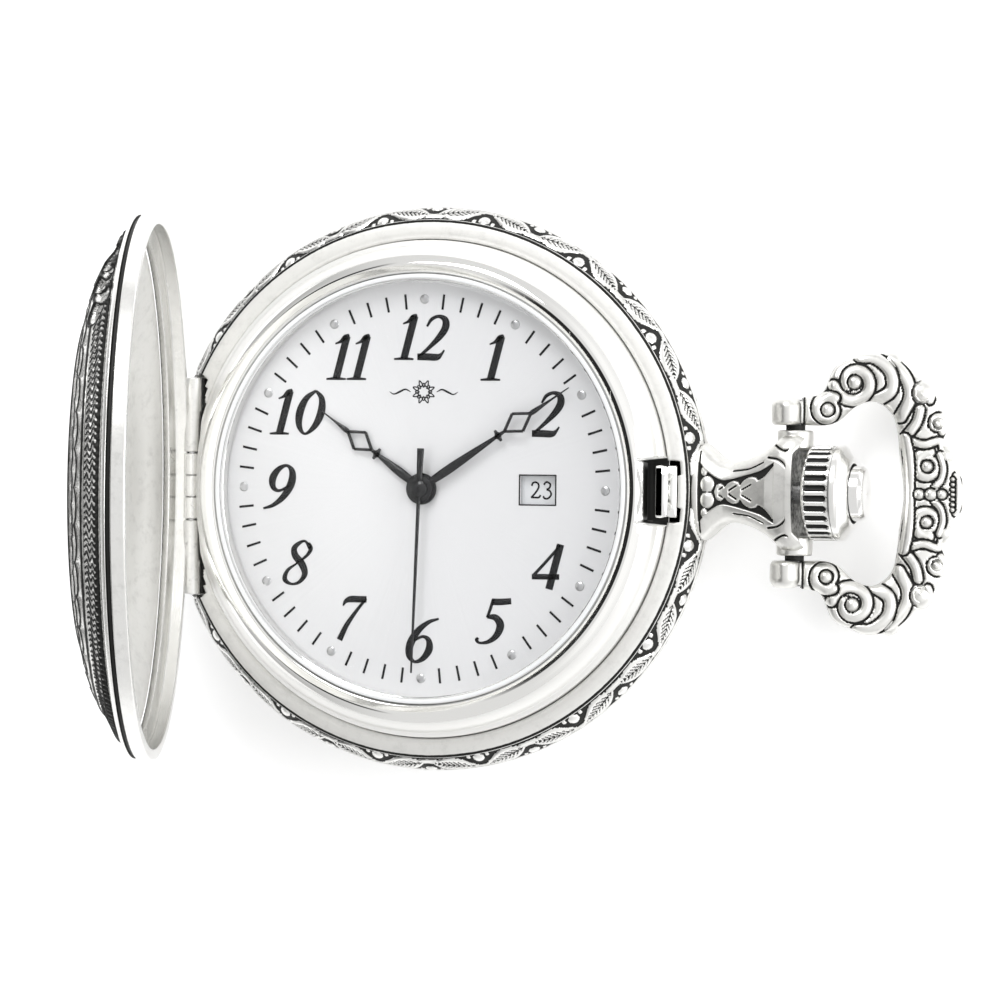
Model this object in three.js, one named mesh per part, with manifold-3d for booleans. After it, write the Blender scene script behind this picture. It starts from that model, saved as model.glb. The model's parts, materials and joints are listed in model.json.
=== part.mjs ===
// Hunter pocket watch, lying on its back with the lid open.
// Millimetres. The origin is the centre of the flat of the back cover, +Z leaves the dial,
// +X points to the pendant (3 o'clock) and +Y to 12 o'clock.

import * as THREE from 'three';
import { mergeVertices } from 'three/addons/utils/BufferGeometryUtils.js';
import Module from 'manifold-3d';

const wasm = await Module();
wasm.setup();

const RAD = Math.PI / 180;

// ---- driving dimensions ----
const CASE_R = 23.75;            // widest radius of the engraved band
const BAND_TOP_R = 22.5;
const BAND_TOP_Z = 8.55;
const SEAT_IN_R = 20.95;         // inner edge of the satin ring that the lid sits on
const SEAT_IN_Z = 8.7;
const CAVITY_R = 19.4;           // inside of the case middle
const MIDDLE_BOTTOM_Z = 3.0;
const BACK_FLAT_R = 12;          // flat that the watch lies on
const AXIS_Z = 5.6;              // height of the crown, stem and bow axis
const DIAL_Z = 10;               // top face of the dial
const DIAL_R = 18.6;
const OPENING_R = 17.28;         // visible opening round the dial
const CRYSTAL_R = 17.5;
const CRYSTAL_SEAT_Z = 11.15;
const GAP = 0.1;                 // clearance between nested pieces
const RING_STEPS = 40;           // facets of the large turned pieces

const LID_OPEN = 76 * RAD;
const HINGE_X = -21.1;
const HINGE_Z = 8.5;
const LID_PLANE = 0.45;          // rim plane of the closed lid above the hinge axis
const LID_R = 22.16;
const KNUCKLE_R = 0.75;
const KNUCKLE_BORE_R = 0.38;
const PIN_R = 0.3;
const HINGE_HALF = 9.2;          // half length of the hinge
const LID_KNUCKLE_HALF = 2.8;
const SEAT_FLOOR_Z = 7.5;        // flat under the hinge, where the lid's heel stops

const BOW_X = 30.9;
const BOW_DROOP = 19.3 * RAD;    // the bow's far end rests on the table
const SHOULDER_HALF = 5.2;

const MODULE = 0.15;             // motion work: pitch diameter per tooth
const PLATE_BOTTOM_Z = 7.6;
const PLATE_TOP_Z = 8.5;
const BRIDGE_BOTTOM_Z = 4.2;
const BRIDGE_TOP_Z = 4.7;
const PLATE_R = 15;
const STEM_IN_X = 10.4;
const STEM_SOLID_R = 0.45;
const STEM_TUBE_R = 0.95;

// ---- materials ----
const plain = (color, roughness, metalness) => ({ color, roughness, metalness });
const STEEL = plain(0xd9d9d3, 0.32, 1);
const POLISHED = plain(0xeeeeec, 0.06, 1);
const SATIN = plain(0xd4d3ce, 0.45, 1);
const BRASS = plain(0xc9a75a, 0.3, 1);
const WHITE = plain(0xe9e9eb, 0.45, 0);
const BLACK = plain(0x2e2e30, 0.35, 0.2);
const PLASTIC = plain(0xdedcd4, 0.5, 0);
const RUBBER = plain(0x1c1c1e, 0.8, 0);
const BOARD = plain(0x2f6b46, 0.5, 0);
const COPPER = plain(0xb4693c, 0.35, 1);
const GLASS = plain(0xf4f8fa, 0.03, 0);

// ---- solids ----
function solid(geometry, matrix) {
  let g = geometry.index ? geometry.toNonIndexed() : geometry.clone();
  g.deleteAttribute('normal');
  g.deleteAttribute('uv');
  if (matrix) g.applyMatrix4(matrix);
  g = mergeVertices(g, 1e-4);
  const index = Array.from(g.index.array);
  const kept = [];
  for (let i = 0; i < index.length; i += 3) {
    const [a, b, c] = index.slice(i, i + 3);
    if (a !== b && b !== c && c !== a) kept.push(a, b, c);
  }
  const mesh = new wasm.Mesh({
    numProp: 3,
    vertProperties: Float32Array.from(g.attributes.position.array),
    triVerts: Uint32Array.from(kept),
  });
  return new wasm.Manifold(mesh);
}

function toGeometry(manifold) {
  const mesh = manifold.getMesh();
  const g = new THREE.BufferGeometry();
  g.setAttribute('position', new THREE.BufferAttribute(Float32Array.from(mesh.vertProperties), 3));
  g.setIndex(Array.from(mesh.triVerts));
  g.computeVertexNormals();
  return g;
}

const moved = (x, y, z) => new THREE.Matrix4().makeTranslation(x, y, z);
const union = (...parts) => parts.reduce((sum, part) => sum.add(part));
const cut = (body, ...tools) => tools.reduce((rest, tool) => rest.subtract(tool), body);

// Turned about Z: profile points [r, z], closed on itself or ending on the axis.
function turned(profile, steps = RING_STEPS) {
  const points = profile.map(([r, z]) => new THREE.Vector2(r, z));
  const onAxis = profile[0][0] === 0 && profile.at(-1)[0] === 0;
  if (!onAxis) points.push(points[0].clone());
  let area = 0;
  profile.forEach(([r, z], i) => {
    const [r2, z2] = profile[(i + 1) % profile.length];
    area += r * z2 - r2 * z;
  });
  if (area < 0) points.reverse();
  const toZ = new THREE.Matrix4().makeRotationX(Math.PI / 2);
  return solid(new THREE.LatheGeometry(points, steps), toZ);
}

const ring = (r0, r1, z0, z1, steps) => turned([[r0, z0], [r1, z0], [r1, z1], [r0, z1]], steps);
const disc = (r, z0, z1, steps) => turned([[0, z0], [r, z0], [r, z1], [0, z1]], steps);

function box(x0, x1, y0, y1, z0, z1) {
  const g = new THREE.BoxGeometry(x1 - x0, y1 - y0, z1 - z0);
  return solid(g, moved((x0 + x1) / 2, (y0 + y1) / 2, (z0 + z1) / 2));
}

function discAt(x, y, r, z0, z1, steps = 16) {
  return disc(r, z0, z1, steps).translate([x, y, 0]);
}

// Rods and tubes along +X at the crown's height, and along +Y at a given x and z.
const alongX = (profile, steps = 24) => turned(profile, steps).rotate([0, 90, 0]).translate([0, 0, AXIS_Z]);
const rodX = (r, x0, x1, steps) => alongX([[0, x0], [r, x0], [r, x1], [0, x1]], steps);
const tubeX = (r0, r1, x0, x1, steps) => alongX([[r0, x0], [r1, x0], [r1, x1], [r0, x1]], steps);
function rodY(r, y0, y1, x, z, steps = 16) {
  return disc(r, y0, y1, steps).rotate([-90, 0, 0]).translate([x, 0, z]);
}

function plate(points, z0, z1) {
  const shape = new THREE.Shape(points.map(([x, y]) => new THREE.Vector2(x, y)));
  return solid(new THREE.ExtrudeGeometry(shape, { depth: z1 - z0, bevelEnabled: false }), moved(0, 0, z0));
}

// A gear wheel: pitch radius is MODULE-like size times teeth over two; teeth are plain triangles that
// stop short of the mate's tips, so that the train turns freely.
function gear(teeth, size, z0, z1, tipCut = 0.05) {
  const pitch = teeth * size / 2;
  const points = [];
  for (let i = 0; i < teeth; i += 1) {
    const step = 2 * Math.PI / teeth;
    for (const [r, turn] of [[pitch - size, i * step], [pitch - tipCut, (i + 0.5) * step]]) {
      points.push([r * Math.cos(turn), r * Math.sin(turn)]);
    }
  }
  return plate(points, z0, z1);
}

const watch = new THREE.Group();
watch.name = 'hunter_pocket_watch';

function add(name, manifold, look, parent = watch) {
  const geometry = toGeometry(manifold);
  const material = new THREE.MeshStandardMaterial(look);
  const mesh = new THREE.Mesh(geometry, material);
  mesh.name = name;
  parent.add(mesh);
  return mesh;
}

// ---- case ----
const hingeSeat = () => box(-26, -20, -9.4, 9.4, SEAT_FLOOR_Z, 14);
const LATCH_SLOT_HALF = 2.55;
const latchPocket = () => box(18.75, 21.8, -LATCH_SLOT_HALF, LATCH_SLOT_HALF, 4.4, 14);
const springSlot = () => box(-20.45, -19, -1.3, 1.3, 4.9, 9);

function knuckles(y0, y1) {
  const barrel = rodY(KNUCKLE_R, y0, y1, HINGE_X, HINGE_Z);
  const foot = box(HINGE_X - 0.4, -20.2, y0, y1, SEAT_FLOOR_Z - 0.3, HINGE_Z);
  return union(barrel, foot);
}

function caseMiddle() {
  const band = turned([
    [CAVITY_R, MIDDLE_BOTTOM_Z], [22.2, MIDDLE_BOTTOM_Z], [23.1, 3.9], [23.6, 5.1], [CASE_R, 6.2],
    [23.5, 7.3], [BAND_TOP_R, BAND_TOP_Z], [SEAT_IN_R, SEAT_IN_Z], [SEAT_IN_R, 8.2], [CAVITY_R, 8.2],
  ]);
  const gapHalf = LID_KNUCKLE_HALF + GAP;
  const body = cut(band, hingeSeat(), latchPocket(), springSlot(), rodX(1.45, 18, 25));
  const joined = union(body, knuckles(gapHalf, HINGE_HALF), knuckles(-HINGE_HALF, -gapHalf));
  const bore = rodY(KNUCKLE_BORE_R, -10, 10, HINGE_X, HINGE_Z, 12);
  return cut(joined, bore, springSlot());
}

function bezel() {
  const body = turned([
    [18.9, 8.3], [20.9, 8.3], [20.85, 9.3], [20.4, 9.75], [19.5, 10.75], [18.3, 11.75], [18, 11.75],
    [18, CRYSTAL_SEAT_Z], [OPENING_R, CRYSTAL_SEAT_Z], [OPENING_R, DIAL_Z + GAP], [18.9, DIAL_Z + GAP],
  ]);
  const catchSlot = box(18.75, 21.8, -LATCH_SLOT_HALF, LATCH_SLOT_HALF, 8, 14);
  return cut(body, box(-26, -20.05, -9.4, 9.4, 7, 14), catchSlot);
}

add('case_middle', caseMiddle(), SATIN);
add('bezel', bezel(), POLISHED);
add('crystal_gasket', ring(CRYSTAL_R + 0.05, 17.95, CRYSTAL_SEAT_Z + 0.05, 11.6), PLASTIC);
add('crystal', turned([
  [0, 11.95], [9, 11.75], [CRYSTAL_R, CRYSTAL_SEAT_Z + 0.05], [CRYSTAL_R, 11.8],
  [16.8, 12.15], [9, 12.55], [0, 12.7],
]), GLASS);

add('back_cover', turned([
  [0, 0], [BACK_FLAT_R, 0], [18, 1.2], [20.5, 2.0], [22.3, 2.2], [22.3, 2.9], [19.3, 2.9], [19.3, 3.5],
  [18.6, 3.5], [18.6, 2.3], [17.6, 1.75], [BACK_FLAT_R, 0.6], [0, 0.6],
]), SATIN);
add('back_gasket', ring(18.1, 18.5, 2.9, 3.6), RUBBER);

// ---- pendant, crown, button and bow ----
// The neck is turned about X with a waist and a cup for the crown, then flattened and given two shoulders.
function pendant() {
  const neck = [
    [22.7, 4.3], [23.6, 3.9], [25.3, 2.6], [27, 2.75], [28.8, 3.6], [30.2, 4.9], [31.2, 4.95], [32, 4.6],
  ];
  const half = [...neck, [32, 0]].map(([x, y]) => [x, y]);
  const outline = [...half, ...neck.map(([x, y]) => [x, -y]).reverse()].filter(([, y]) => y !== 0);
  const slab = plate(outline, AXIS_Z - 3.1, AXIS_Z + 3.1);
  const round = alongX([
    [0, 22.7], [3.2, 22.7], [2.6, 25.3], [3.2, 28], [4.9, 30.4], [4.9, 32], [0, 32],
  ], 32);
  const shoulders = rodY(1.5, -SHOULDER_HALF, SHOULDER_HALF, BOW_X, AXIS_Z, 20);
  const body = union(slab.intersect(union(round, box(22, 26, -5, 5, AXIS_Z - 2.4, AXIS_Z + 2.4))), shoulders);
  const cup = alongX([[0, 30.9], [3.2, 30.9], [4.25, 31.7], [4.25, 34], [0, 34]], 32);
  const caseClear = turned([[0, 0], [CASE_R + GAP, 0], [CASE_R + GAP, 14], [0, 14]]);
  const sockets = rodY(0.8, -8, 8, BOW_X, AXIS_Z, 12);
  const keepCore = cut(sockets, box(28, 34, -4.35, 4.35, 2, 9));
  return cut(body, cup, rodX(1.45, 22, 33), caseClear, keepCore);
}

const FLUTES = 28;
function crown() {
  const outline = [];
  for (let i = 0; i < FLUTES; i += 1) {
    const step = 2 * Math.PI / FLUTES;
    for (const [r, turn] of [[3.6, 0], [3.92, 0.28], [3.92, 0.72]]) {
      outline.push([r * Math.cos((i + turn) * step), r * Math.sin((i + turn) * step)]);
    }
  }
  const fluted = plate(outline, 31.4, 35.7).rotate([0, 90, 0]).translate([0, 0, AXIS_Z]);
  const form = alongX([
    [1.02, 31.4], [2.6, 31.4], [3.95, 32.6], [3.95, 34.8], [2.9, 35.6], [2.45, 35.7], [2.45, 33.4],
    [1.02, 33.4],
  ], 56);
  return fluted.intersect(form);
}

const BUTTON_TRAVEL = 0.8;
const PIN_X = 20.9;              // cross pin of the button's rod, just outside the latch
function button() {
  const head = alongX([
    [0, 34.3], [2.35, 34.3], [2.28, 34.8], [2.28, 36.7], [2.0, 37], [0, 37],
  ]);
  const rod = rodX(0.35, 20.6, 34.5, 10);
  const crossPin = disc(0.2, -1.3, 1.3, 8).translate([PIN_X, 0, AXIS_Z]);
  return union(head, rod, crossPin);
}

function stem() {
  const solidEnd = rodX(STEM_SOLID_R, STEM_IN_X, 19.4, 12);
  const tube = tubeX(0.45, STEM_TUBE_R, 19.6, 33.3, 20);
  const floor = rodX(STEM_TUBE_R, 19, 19.7, 20);
  const slot = box(PIN_X - BUTTON_TRAVEL - 0.3, PIN_X + 0.3, -0.3, 0.3, AXIS_Z - 2, AXIS_Z + 2);
  return cut(union(solidEnd, tube, floor), slot);
}

// Loose coil between the crown's inner step and the button's head.
function coil(radius, wire, turns, x0, x1) {
  class Helix extends THREE.Curve {
    getPoint(t) {
      const a = 2 * Math.PI * turns * t;
      return new THREE.Vector3(x0 + (x1 - x0) * t, radius * Math.cos(a), AXIS_Z + radius * Math.sin(a));
    }
  }
  const section = new THREE.Shape();
  section.absarc(0, 0, wire, 0, 2 * Math.PI);
  const wound = { steps: turns * 14, curveSegments: 3, bevelEnabled: false, extrudePath: new Helix() };
  return solid(new THREE.ExtrudeGeometry(section, wound));
}

add('pendant', pendant(), SATIN);
add('pendant_sleeve', tubeX(1.05, 1.35, 25, 30.2), RUBBER);
add('crown', crown(), STEEL);
add('stem', stem(), STEEL);
add('push_button', button(), STEEL);
add('button_spring', coil(1.7, 0.12, 2, 33.65, 34.1), STEEL);

// The catch: a plate with a hole for the stem and a nose that holds the lid's rim.
function latch() {
  const leaf = box(20.1, 20.65, -2.15, 2.15, 4.7, 9.9);
  const foot = box(20.1, 21.55, -2.15, 2.15, 8.1, 8.6);
  const nose = box(20.1, 21.05, -2.15, 2.15, 9.4, 9.9);
  const hole = rodX(1.1, 19, 23, 20);
  return cut(union(leaf, foot, nose), hole, box(19, 20.64, -1.1, 1.1, 4, AXIS_Z));
}
add('latch', latch(), STEEL);

const bow = new THREE.Group();
bow.position.set(BOW_X, 0, AXIS_Z);
bow.rotation.y = BOW_DROOP;
watch.add(bow);

// One half outline of the bow, from the ball at the pivot round to the far boss: outer, then inner.
function bowHalf() {
  const outer = [
    [-1.9, 6.2], [-1.7, 7.3], [-0.6, 7.95], [1.2, 8.0], [2.3, 8.5], [3.2, 10.4], [4.7, 11.2], [6.1, 11.7],
    [8.2, 11.3], [9.8, 10.0], [11.3, 8.6], [12.1, 6.9], [12.6, 5.6], [12.2, 4.3], [12.6, 3.0], [13.2, 1.9],
    [13.9, 1.4],
  ];
  const inner = [
    [9.0, 0.7], [8.7, 3.0], [8.5, 5.0], [8.0, 6.6], [6.6, 7.6], [5.0, 7.2], [3.6, 6.0], [2.4, 5.6],
    [-1.2, 5.6],
  ];
  return { outer, inner };
}

function bowBody() {
  const { outer, inner } = bowHalf();
  const flip = (list) => list.map(([x, y]) => [x, -y]);
  const outline = [...outer, ...flip(outer).reverse(), ...flip(inner).reverse(), ...inner];
  const arms = plate(outline.reverse(), -1.05, 1.05);
  const balls = union(rodY(1.9, 5.7, 7.8, 0, 0, 20), rodY(1.9, -7.8, -5.7, 0, 0, 20));
  return cut(union(arms, balls), rodY(0.76, -9, 9, 0, 0, 12));
}
add('bow', bowBody(), STEEL, bow);
for (const [name, side] of [['bow_screw_1', 1], ['bow_screw_2', -1]]) {
  const shank = side > 0 ? rodY(0.66, 4.5, 7.75, 0, 0, 12) : rodY(0.66, -7.75, -4.5, 0, 0, 12);
  add(name, shank, STEEL, bow);
}

// ---- lid ----
// Profiles are drawn closed: r from the lid's centre, height from the rim plane.
const lid = new THREE.Group();
lid.position.set(HINGE_X, 0, HINGE_Z);
lid.rotation.y = -LID_OPEN;
watch.add(lid);
const lidFromCentre = [-HINGE_X, 0, LID_PLANE];

function lidRim() {
  const body = turned([
    [21.26, 0], [LID_R, 0], [LID_R, 1.15], [21.75, 1.2], [21.75, 1.5], [22.1, 1.55], [21.9, 1.8],
    [21.2, 2.05], [20.85, 2.05], [20.5, 1.5], [21.26, 1.0],
  ]).translate(lidFromCentre);
  const caseKnuckle = (y0, y1) => rodY(1.2, y0, y1, 0, 0);
  const gap = LID_KNUCKLE_HALF;
  const notched = cut(body, caseKnuckle(gap, HINGE_HALF + 0.3), caseKnuckle(-HINGE_HALF - 0.3, -gap));
  const barrel = rodY(KNUCKLE_R, -LID_KNUCKLE_HALF, LID_KNUCKLE_HALF, 0, 0);
  return cut(union(notched, barrel), rodY(KNUCKLE_BORE_R, -5, 5, 0, 0, 12));
}

add('lid_rim', lidRim(), STEEL, lid);
add('lid_cover', turned([
  [0, 6], [12, 5.6], [17, 4.4], [18.4, 3.7], [19, 3.2], [20.75, 2.3], [20.75, 2.1], [20.3, 1.9],
  [18.9, 2.7], [18.1, 3.25], [16.8, 3.95], [12, 5.1], [0, 5.5],
]).translate(lidFromCentre), STEEL, lid);
add('hinge_pin', rodY(PIN_R, -HINGE_HALF, HINGE_HALF, HINGE_X, HINGE_Z, 12), STEEL);

// Lift spring: a strip bent round the inside of the case, with a finger under the lid's knuckle.
function arcStrip(r0, r1, from, to, steps, z0, z1) {
  const turns = [...Array(steps + 1).keys()].map((i) => (from + (to - from) * i / steps) * RAD);
  const rim = (r) => turns.map((a) => [r * Math.cos(a), r * Math.sin(a)]);
  return plate([...rim(r1), ...rim(r0).reverse()], z0, z1);
}
add('lift_spring', union(
  arcStrip(18.85, 19.1, 118, 242, 24, 5.1, 6.5),
  arcStrip(18.85, 19.1, 177, 183, 2, 6.4, 8),
  box(-20.25, -18.86, -0.95, 0.95, 7.6, 7.85),
), STEEL);

// ---- dial, hands and movement ----
add('movement_ring', cut(
  ring(15.3, 18.5, 3.9, 9.4),
  rodX(1.2, 14, 20),
), PLASTIC);

function dial() {
  const body = turned([[1.1, 9.55], [DIAL_R, 9.55], [DIAL_R, DIAL_Z], [1.1, DIAL_Z]]);
  return cut(body, box(8.45, 11.55, -1.2, 1.2, 9, 11));
}
add('dial', dial(), WHITE);

const DATE_TEETH = 31;
function dateRing() {
  const body = ring(7.95, 12.6, 9.05, 9.35, DATE_TEETH * 2);
  const teeth = gear(DATE_TEETH, 0.53, 8, 10, 0);
  return cut(body, teeth);
}
add('date_ring', dateRing(), WHITE);
add('date_guard', ring(4.6, 7.9, 9.4, 9.5, 40), BRASS);

// Axes of the train.
const CENTRE = [0, 0];
const at = (distance, degrees) => [distance * Math.cos(degrees * RAD), distance * Math.sin(degrees * RAD)];
const THIRD = at(3.4, 200);
const FIFTH = at(3.42, 60);
const ROTOR = [FIFTH[0] + 2.1 * Math.cos(80 * RAD), FIFTH[1] + 2.1 * Math.sin(80 * RAD)];
const MINUTE_WHEEL = [3, 0];
const SETTING = [8.4, 0];
const DATE_IDLER = at(5.1, 125);
const BATTERY = [6.2, -8.6];
const PIVOT_R = 0.16;
const SCREWS = [[-6.2, 3.6], [-1.6, -6.6], [5.6, 5.2]];

const pivot = ([x, y], z0, z1, r = PIVOT_R) => discAt(x, y, r, z0, z1, 8);

function mainPlate() {
  let body = disc(PLATE_R, PLATE_BOTTOM_Z, PLATE_TOP_Z, 48);
  for (const [x, y] of SCREWS) body = body.add(discAt(x, y, 0.75, BRIDGE_TOP_Z + 0.02, PLATE_TOP_Z, 12));
  const holes = [
    pivot(CENTRE, 7, 9, 0.8), pivot(THIRD, 7, 9, 0.26), pivot(FIFTH, 7, 9, 0.26), pivot(ROTOR, 7, 9, 0.26),
    pivot(SETTING, 7, 9, 0.45), ...SCREWS.map((p) => discAt(p[0], p[1], 0.42, 4, 9, 10)),
  ];
  return cut(body, ...holes);
}

function trainBridge() {
  const body = disc(7.6, BRIDGE_BOTTOM_Z, BRIDGE_TOP_Z, 40);
  const holes = [CENTRE, THIRD, FIFTH, ROTOR].map((p) => pivot(p, 4, 5, 0.26));
  const screws = SCREWS.map((p) => discAt(p[0], p[1], 0.42, 4, 5, 10));
  return cut(body, discAt(...BATTERY, 4.4, 4, 5, 32), ...holes, ...screws);
}

add('main_plate', mainPlate(), BRASS);
add('train_bridge', trainBridge(), BRASS);
SCREWS.forEach(([x, y], i) => {
  const head = discAt(x, y, 0.8, 3.7, BRIDGE_BOTTOM_Z - 0.02, 12);
  const slot = box(x - 1, x + 1, y - 0.12, y + 0.12, 3.6, 3.85);
  add(`bridge_screw_${i + 1}`, cut(union(head, discAt(x, y, 0.34, 4, 8.3, 10)), slot), STEEL);
});

// Each wheel: a toothed disc, a pinion and an arbor, as one turning piece.
function wheel([x, y], teeth, size, z, pinionTeeth, pinionSize, pz0, pz1, az0 = 4.3, az1 = 8.3) {
  const parts = union(
    gear(teeth, size, z, z + 0.2),
    gear(pinionTeeth, pinionSize, pz0, pz1),
    disc(PIVOT_R, az0, az1, 8),
  );
  return parts.translate([x, y, 0]);
}
const THIRD_SIZE = 0.1333;
const CENTRE_SIZE = 0.1259;
const FOURTH_SIZE = 0.19;
add('third_wheel', wheel(THIRD, 45, THIRD_SIZE, 5.5, 6, CENTRE_SIZE, 5.65, 7.1), BRASS);
add('fifth_wheel', wheel(FIFTH, 30, 0.12, 5.6, 6, FOURTH_SIZE, 4.85, 5.7), BRASS);
add('rotor', union(
  gear(5, 0.12, 5.4, 5.95), disc(1, 6, 6.55, 20), disc(PIVOT_R, 4.3, 8.3, 8),
).translate([ROTOR[0], ROTOR[1], 0]), STEEL);
add('fourth_wheel', union(
  gear(30, FOURTH_SIZE, 5, 5.2), gear(6, THIRD_SIZE, 5.1, 5.95), disc(0.2, 4.3, 10.95, 8),
), BRASS);
add('centre_wheel', cut(union(
  gear(48, CENTRE_SIZE, 6.7, 6.9), disc(0.58, 6.6, 10.62, 14), gear(10, MODULE, 8.6, 8.9),
), disc(0.3, 6, 12, 10)), BRASS);
add('minute_wheel', union(
  gear(30, MODULE, 8.6, 8.8), gear(8, MODULE, 8.75, 9.35),
).translate([...MINUTE_WHEEL, 0]), BRASS);
add('hour_wheel', cut(union(
  gear(32, MODULE, 9.05, 9.3), disc(0.95, 9.05, 10.25, 18),
), disc(0.68, 8, 12, 14)), BRASS);
add('setting_wheel', union(
  gear(42, MODULE, 8.6, 8.8), disc(0.35, 6.8, 8.7, 10), gear(26, 0.2, 6.8, 7.0),
).translate([...SETTING, 0]), BRASS);
add('date_idler', union(
  gear(36, MODULE, 9.05, 9.25), disc(0.4, 8.6, 9.1, 10),
).translate([...DATE_IDLER, 0]), BRASS);

const CLUTCH_TEETH = 14;
add('clutch_wheel', cut(
  gear(CLUTCH_TEETH, 0.16, 11.1, 12.3).rotate([0, 90, 0]).translate([0, 0, AXIS_Z]),
  rodX(STEM_SOLID_R + 0.07, 10, 14, 12),
), STEEL);

add('battery', union(
  discAt(...BATTERY, 3.95, 5, 6.9, 36), discAt(...BATTERY, 3.1, 6.8, 7.15, 30),
), STEEL);
add('battery_clamp', cut(union(
  box(4.8, 7.6, -13, -3.9, 4.74, 4.94), discAt(6.2, -3.9, 1.4, 4.74, 4.94, 20),
), discAt(6.2, -3.6, 0.42, 4, 5, 10)), BRASS);
add('coil', union(
  box(-1, 8.2, 8.6, 10.6, 5.2, 5.4),
  solid(new THREE.CylinderGeometry(1, 1, 7.2, 16), new THREE.Matrix4().makeRotationZ(Math.PI / 2))
    .translate([3.6, 9.6, 6.35]),
), COPPER);
add('stator', cut(plate([
  [-3.4, 3.6], [6.3, 3.6], [8.4, 6.2], [8.4, 8.3], [-1.2, 8.3], [-3.4, 6.4],
], 6.1, 6.45), pivot(ROTOR, 6, 7, 1.2), pivot([5.6, 5.2], 6, 7, 0.9)), STEEL);
add('circuit_board', cut(plate([
  [-13.4, -3.2], [-7.6, -3.2], [-7.6, 8.2], [-4, 10], [-6.8, 12.4], [-11.4, 8.6],
], 5, 5.3), pivot([-10.4, 5.4], 4, 6, 0.3)), BOARD);
add('quartz_can', solid(new THREE.CylinderGeometry(0.75, 0.75, 5.2, 14)).translate([-9.4, 0.6, 6.15]), STEEL);

// Hands lie flat over the dial; each is drawn along +Y and turned clockwise to its place.
function hand(length, tail, z0, z1, hub, bore, clockwise, openwork) {
  const w = openwork ? 0.42 : 0.09;
  const l = length;
  const right = openwork
    ? [[0.3, -tail], [0.3, 0], [w, l * 0.3], [0.22, l * 0.5], [1.05, l * 0.68], [0.2, l * 0.86], [0.05, l]]
    : [[0.28, -tail], [0.09, 0], [0.05, l]];
  const left = right.map(([x, y]) => [-x, y]).reverse();
  let body = plate([...right, ...left], z0, z1);
  if (openwork) {
    const window = [[0, l * 0.56], [0.62, l * 0.68], [0, l * 0.8], [-0.62, l * 0.68]];
    body = cut(body, plate(window, z0 - 1, z1 + 1));
  }
  body = union(body, disc(hub, z0, z1, 24));
  if (bore) body = cut(body, disc(bore, 8, 13, 16));
  return body.rotate([0, 0, -clockwise]);
}
add('hour_hand', hand(10.95, 0, 10.28, 10.42, 1.2, 0.68, 306, true), BLACK);
add('minute_hand', hand(15.4, 0, 10.64, 10.78, 1.1, 0.3, 56.4, true), BLACK);
add('second_hand', hand(15.4, 3.4, 10.97, 11.09, 0.75, 0, 182, false), BLACK);

export default watch;
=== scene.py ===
"""Hunter pocket watch on a pale table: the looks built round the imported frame."""

import json
import math

import bmesh
import bpy
import numpy as np
from mathutils import Matrix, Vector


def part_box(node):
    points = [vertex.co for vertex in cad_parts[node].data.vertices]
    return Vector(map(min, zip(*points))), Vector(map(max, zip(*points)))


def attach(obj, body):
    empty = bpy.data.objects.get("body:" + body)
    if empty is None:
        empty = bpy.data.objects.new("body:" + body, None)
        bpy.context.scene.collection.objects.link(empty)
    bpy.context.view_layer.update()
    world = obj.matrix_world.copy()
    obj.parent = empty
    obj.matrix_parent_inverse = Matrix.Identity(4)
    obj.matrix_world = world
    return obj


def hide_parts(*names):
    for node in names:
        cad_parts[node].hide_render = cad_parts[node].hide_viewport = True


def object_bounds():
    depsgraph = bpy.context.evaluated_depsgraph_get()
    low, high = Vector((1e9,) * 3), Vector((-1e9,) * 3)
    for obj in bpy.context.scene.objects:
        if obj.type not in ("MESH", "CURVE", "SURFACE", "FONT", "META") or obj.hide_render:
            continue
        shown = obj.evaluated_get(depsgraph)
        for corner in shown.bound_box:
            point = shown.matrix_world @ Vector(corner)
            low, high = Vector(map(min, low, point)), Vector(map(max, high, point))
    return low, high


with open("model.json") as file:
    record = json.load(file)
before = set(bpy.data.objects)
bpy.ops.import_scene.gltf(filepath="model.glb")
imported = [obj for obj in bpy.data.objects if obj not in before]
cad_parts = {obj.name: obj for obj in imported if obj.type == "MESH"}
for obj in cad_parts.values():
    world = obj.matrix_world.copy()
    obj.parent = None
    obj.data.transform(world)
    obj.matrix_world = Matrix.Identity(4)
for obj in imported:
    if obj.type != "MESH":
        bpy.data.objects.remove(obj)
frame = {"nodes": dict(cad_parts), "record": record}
CAD_BOX = [list(corner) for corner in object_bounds()]
MM = 0.001
TAU = 2 * np.pi
TINY = 1e-9                # keeps a division away from zero

JOINTS = {joint["name"]: joint for joint in frame["record"]["behaviour"]["joints"]}


def centre_mm(joint_name):
    """A joint's place in millimetres."""
    return np.array(JOINTS[joint_name]["pos_m"]) / MM


def box_mm(node):
    """A node's lowest and highest corners in millimetres."""
    low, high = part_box(node)
    return np.array(low) / MM, np.array(high) / MM


LID_AXIS = centre_mm("lid_hinge")
LID_OPEN = math.radians(76)
BOW_AXIS = centre_mm("bow_swing")
BOW_DROOP = math.radians(19.3)
CROWN_Z = BOW_AXIS[2]
DIAL_TOP = box_mm("dial")[1][2]
CASE_R = box_mm("case_middle")[1][1]


# ---- numbers over whole arrays ----
def smooth(x):
    """Smooth step from 0 to 1."""
    x = np.clip(x, 0, 1)
    return x * x * (3 - 2 * x)


def highest(first, *others):
    """Largest of several arrays, place by place."""
    for other in others:
        first = np.maximum(first, other)
    return first


def dome(distance, radius):
    """Half circle in section: 1 in the middle, 0 from the radius outwards."""
    return np.sqrt(np.clip(1 - (distance / radius) ** 2, 0, 1))


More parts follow.
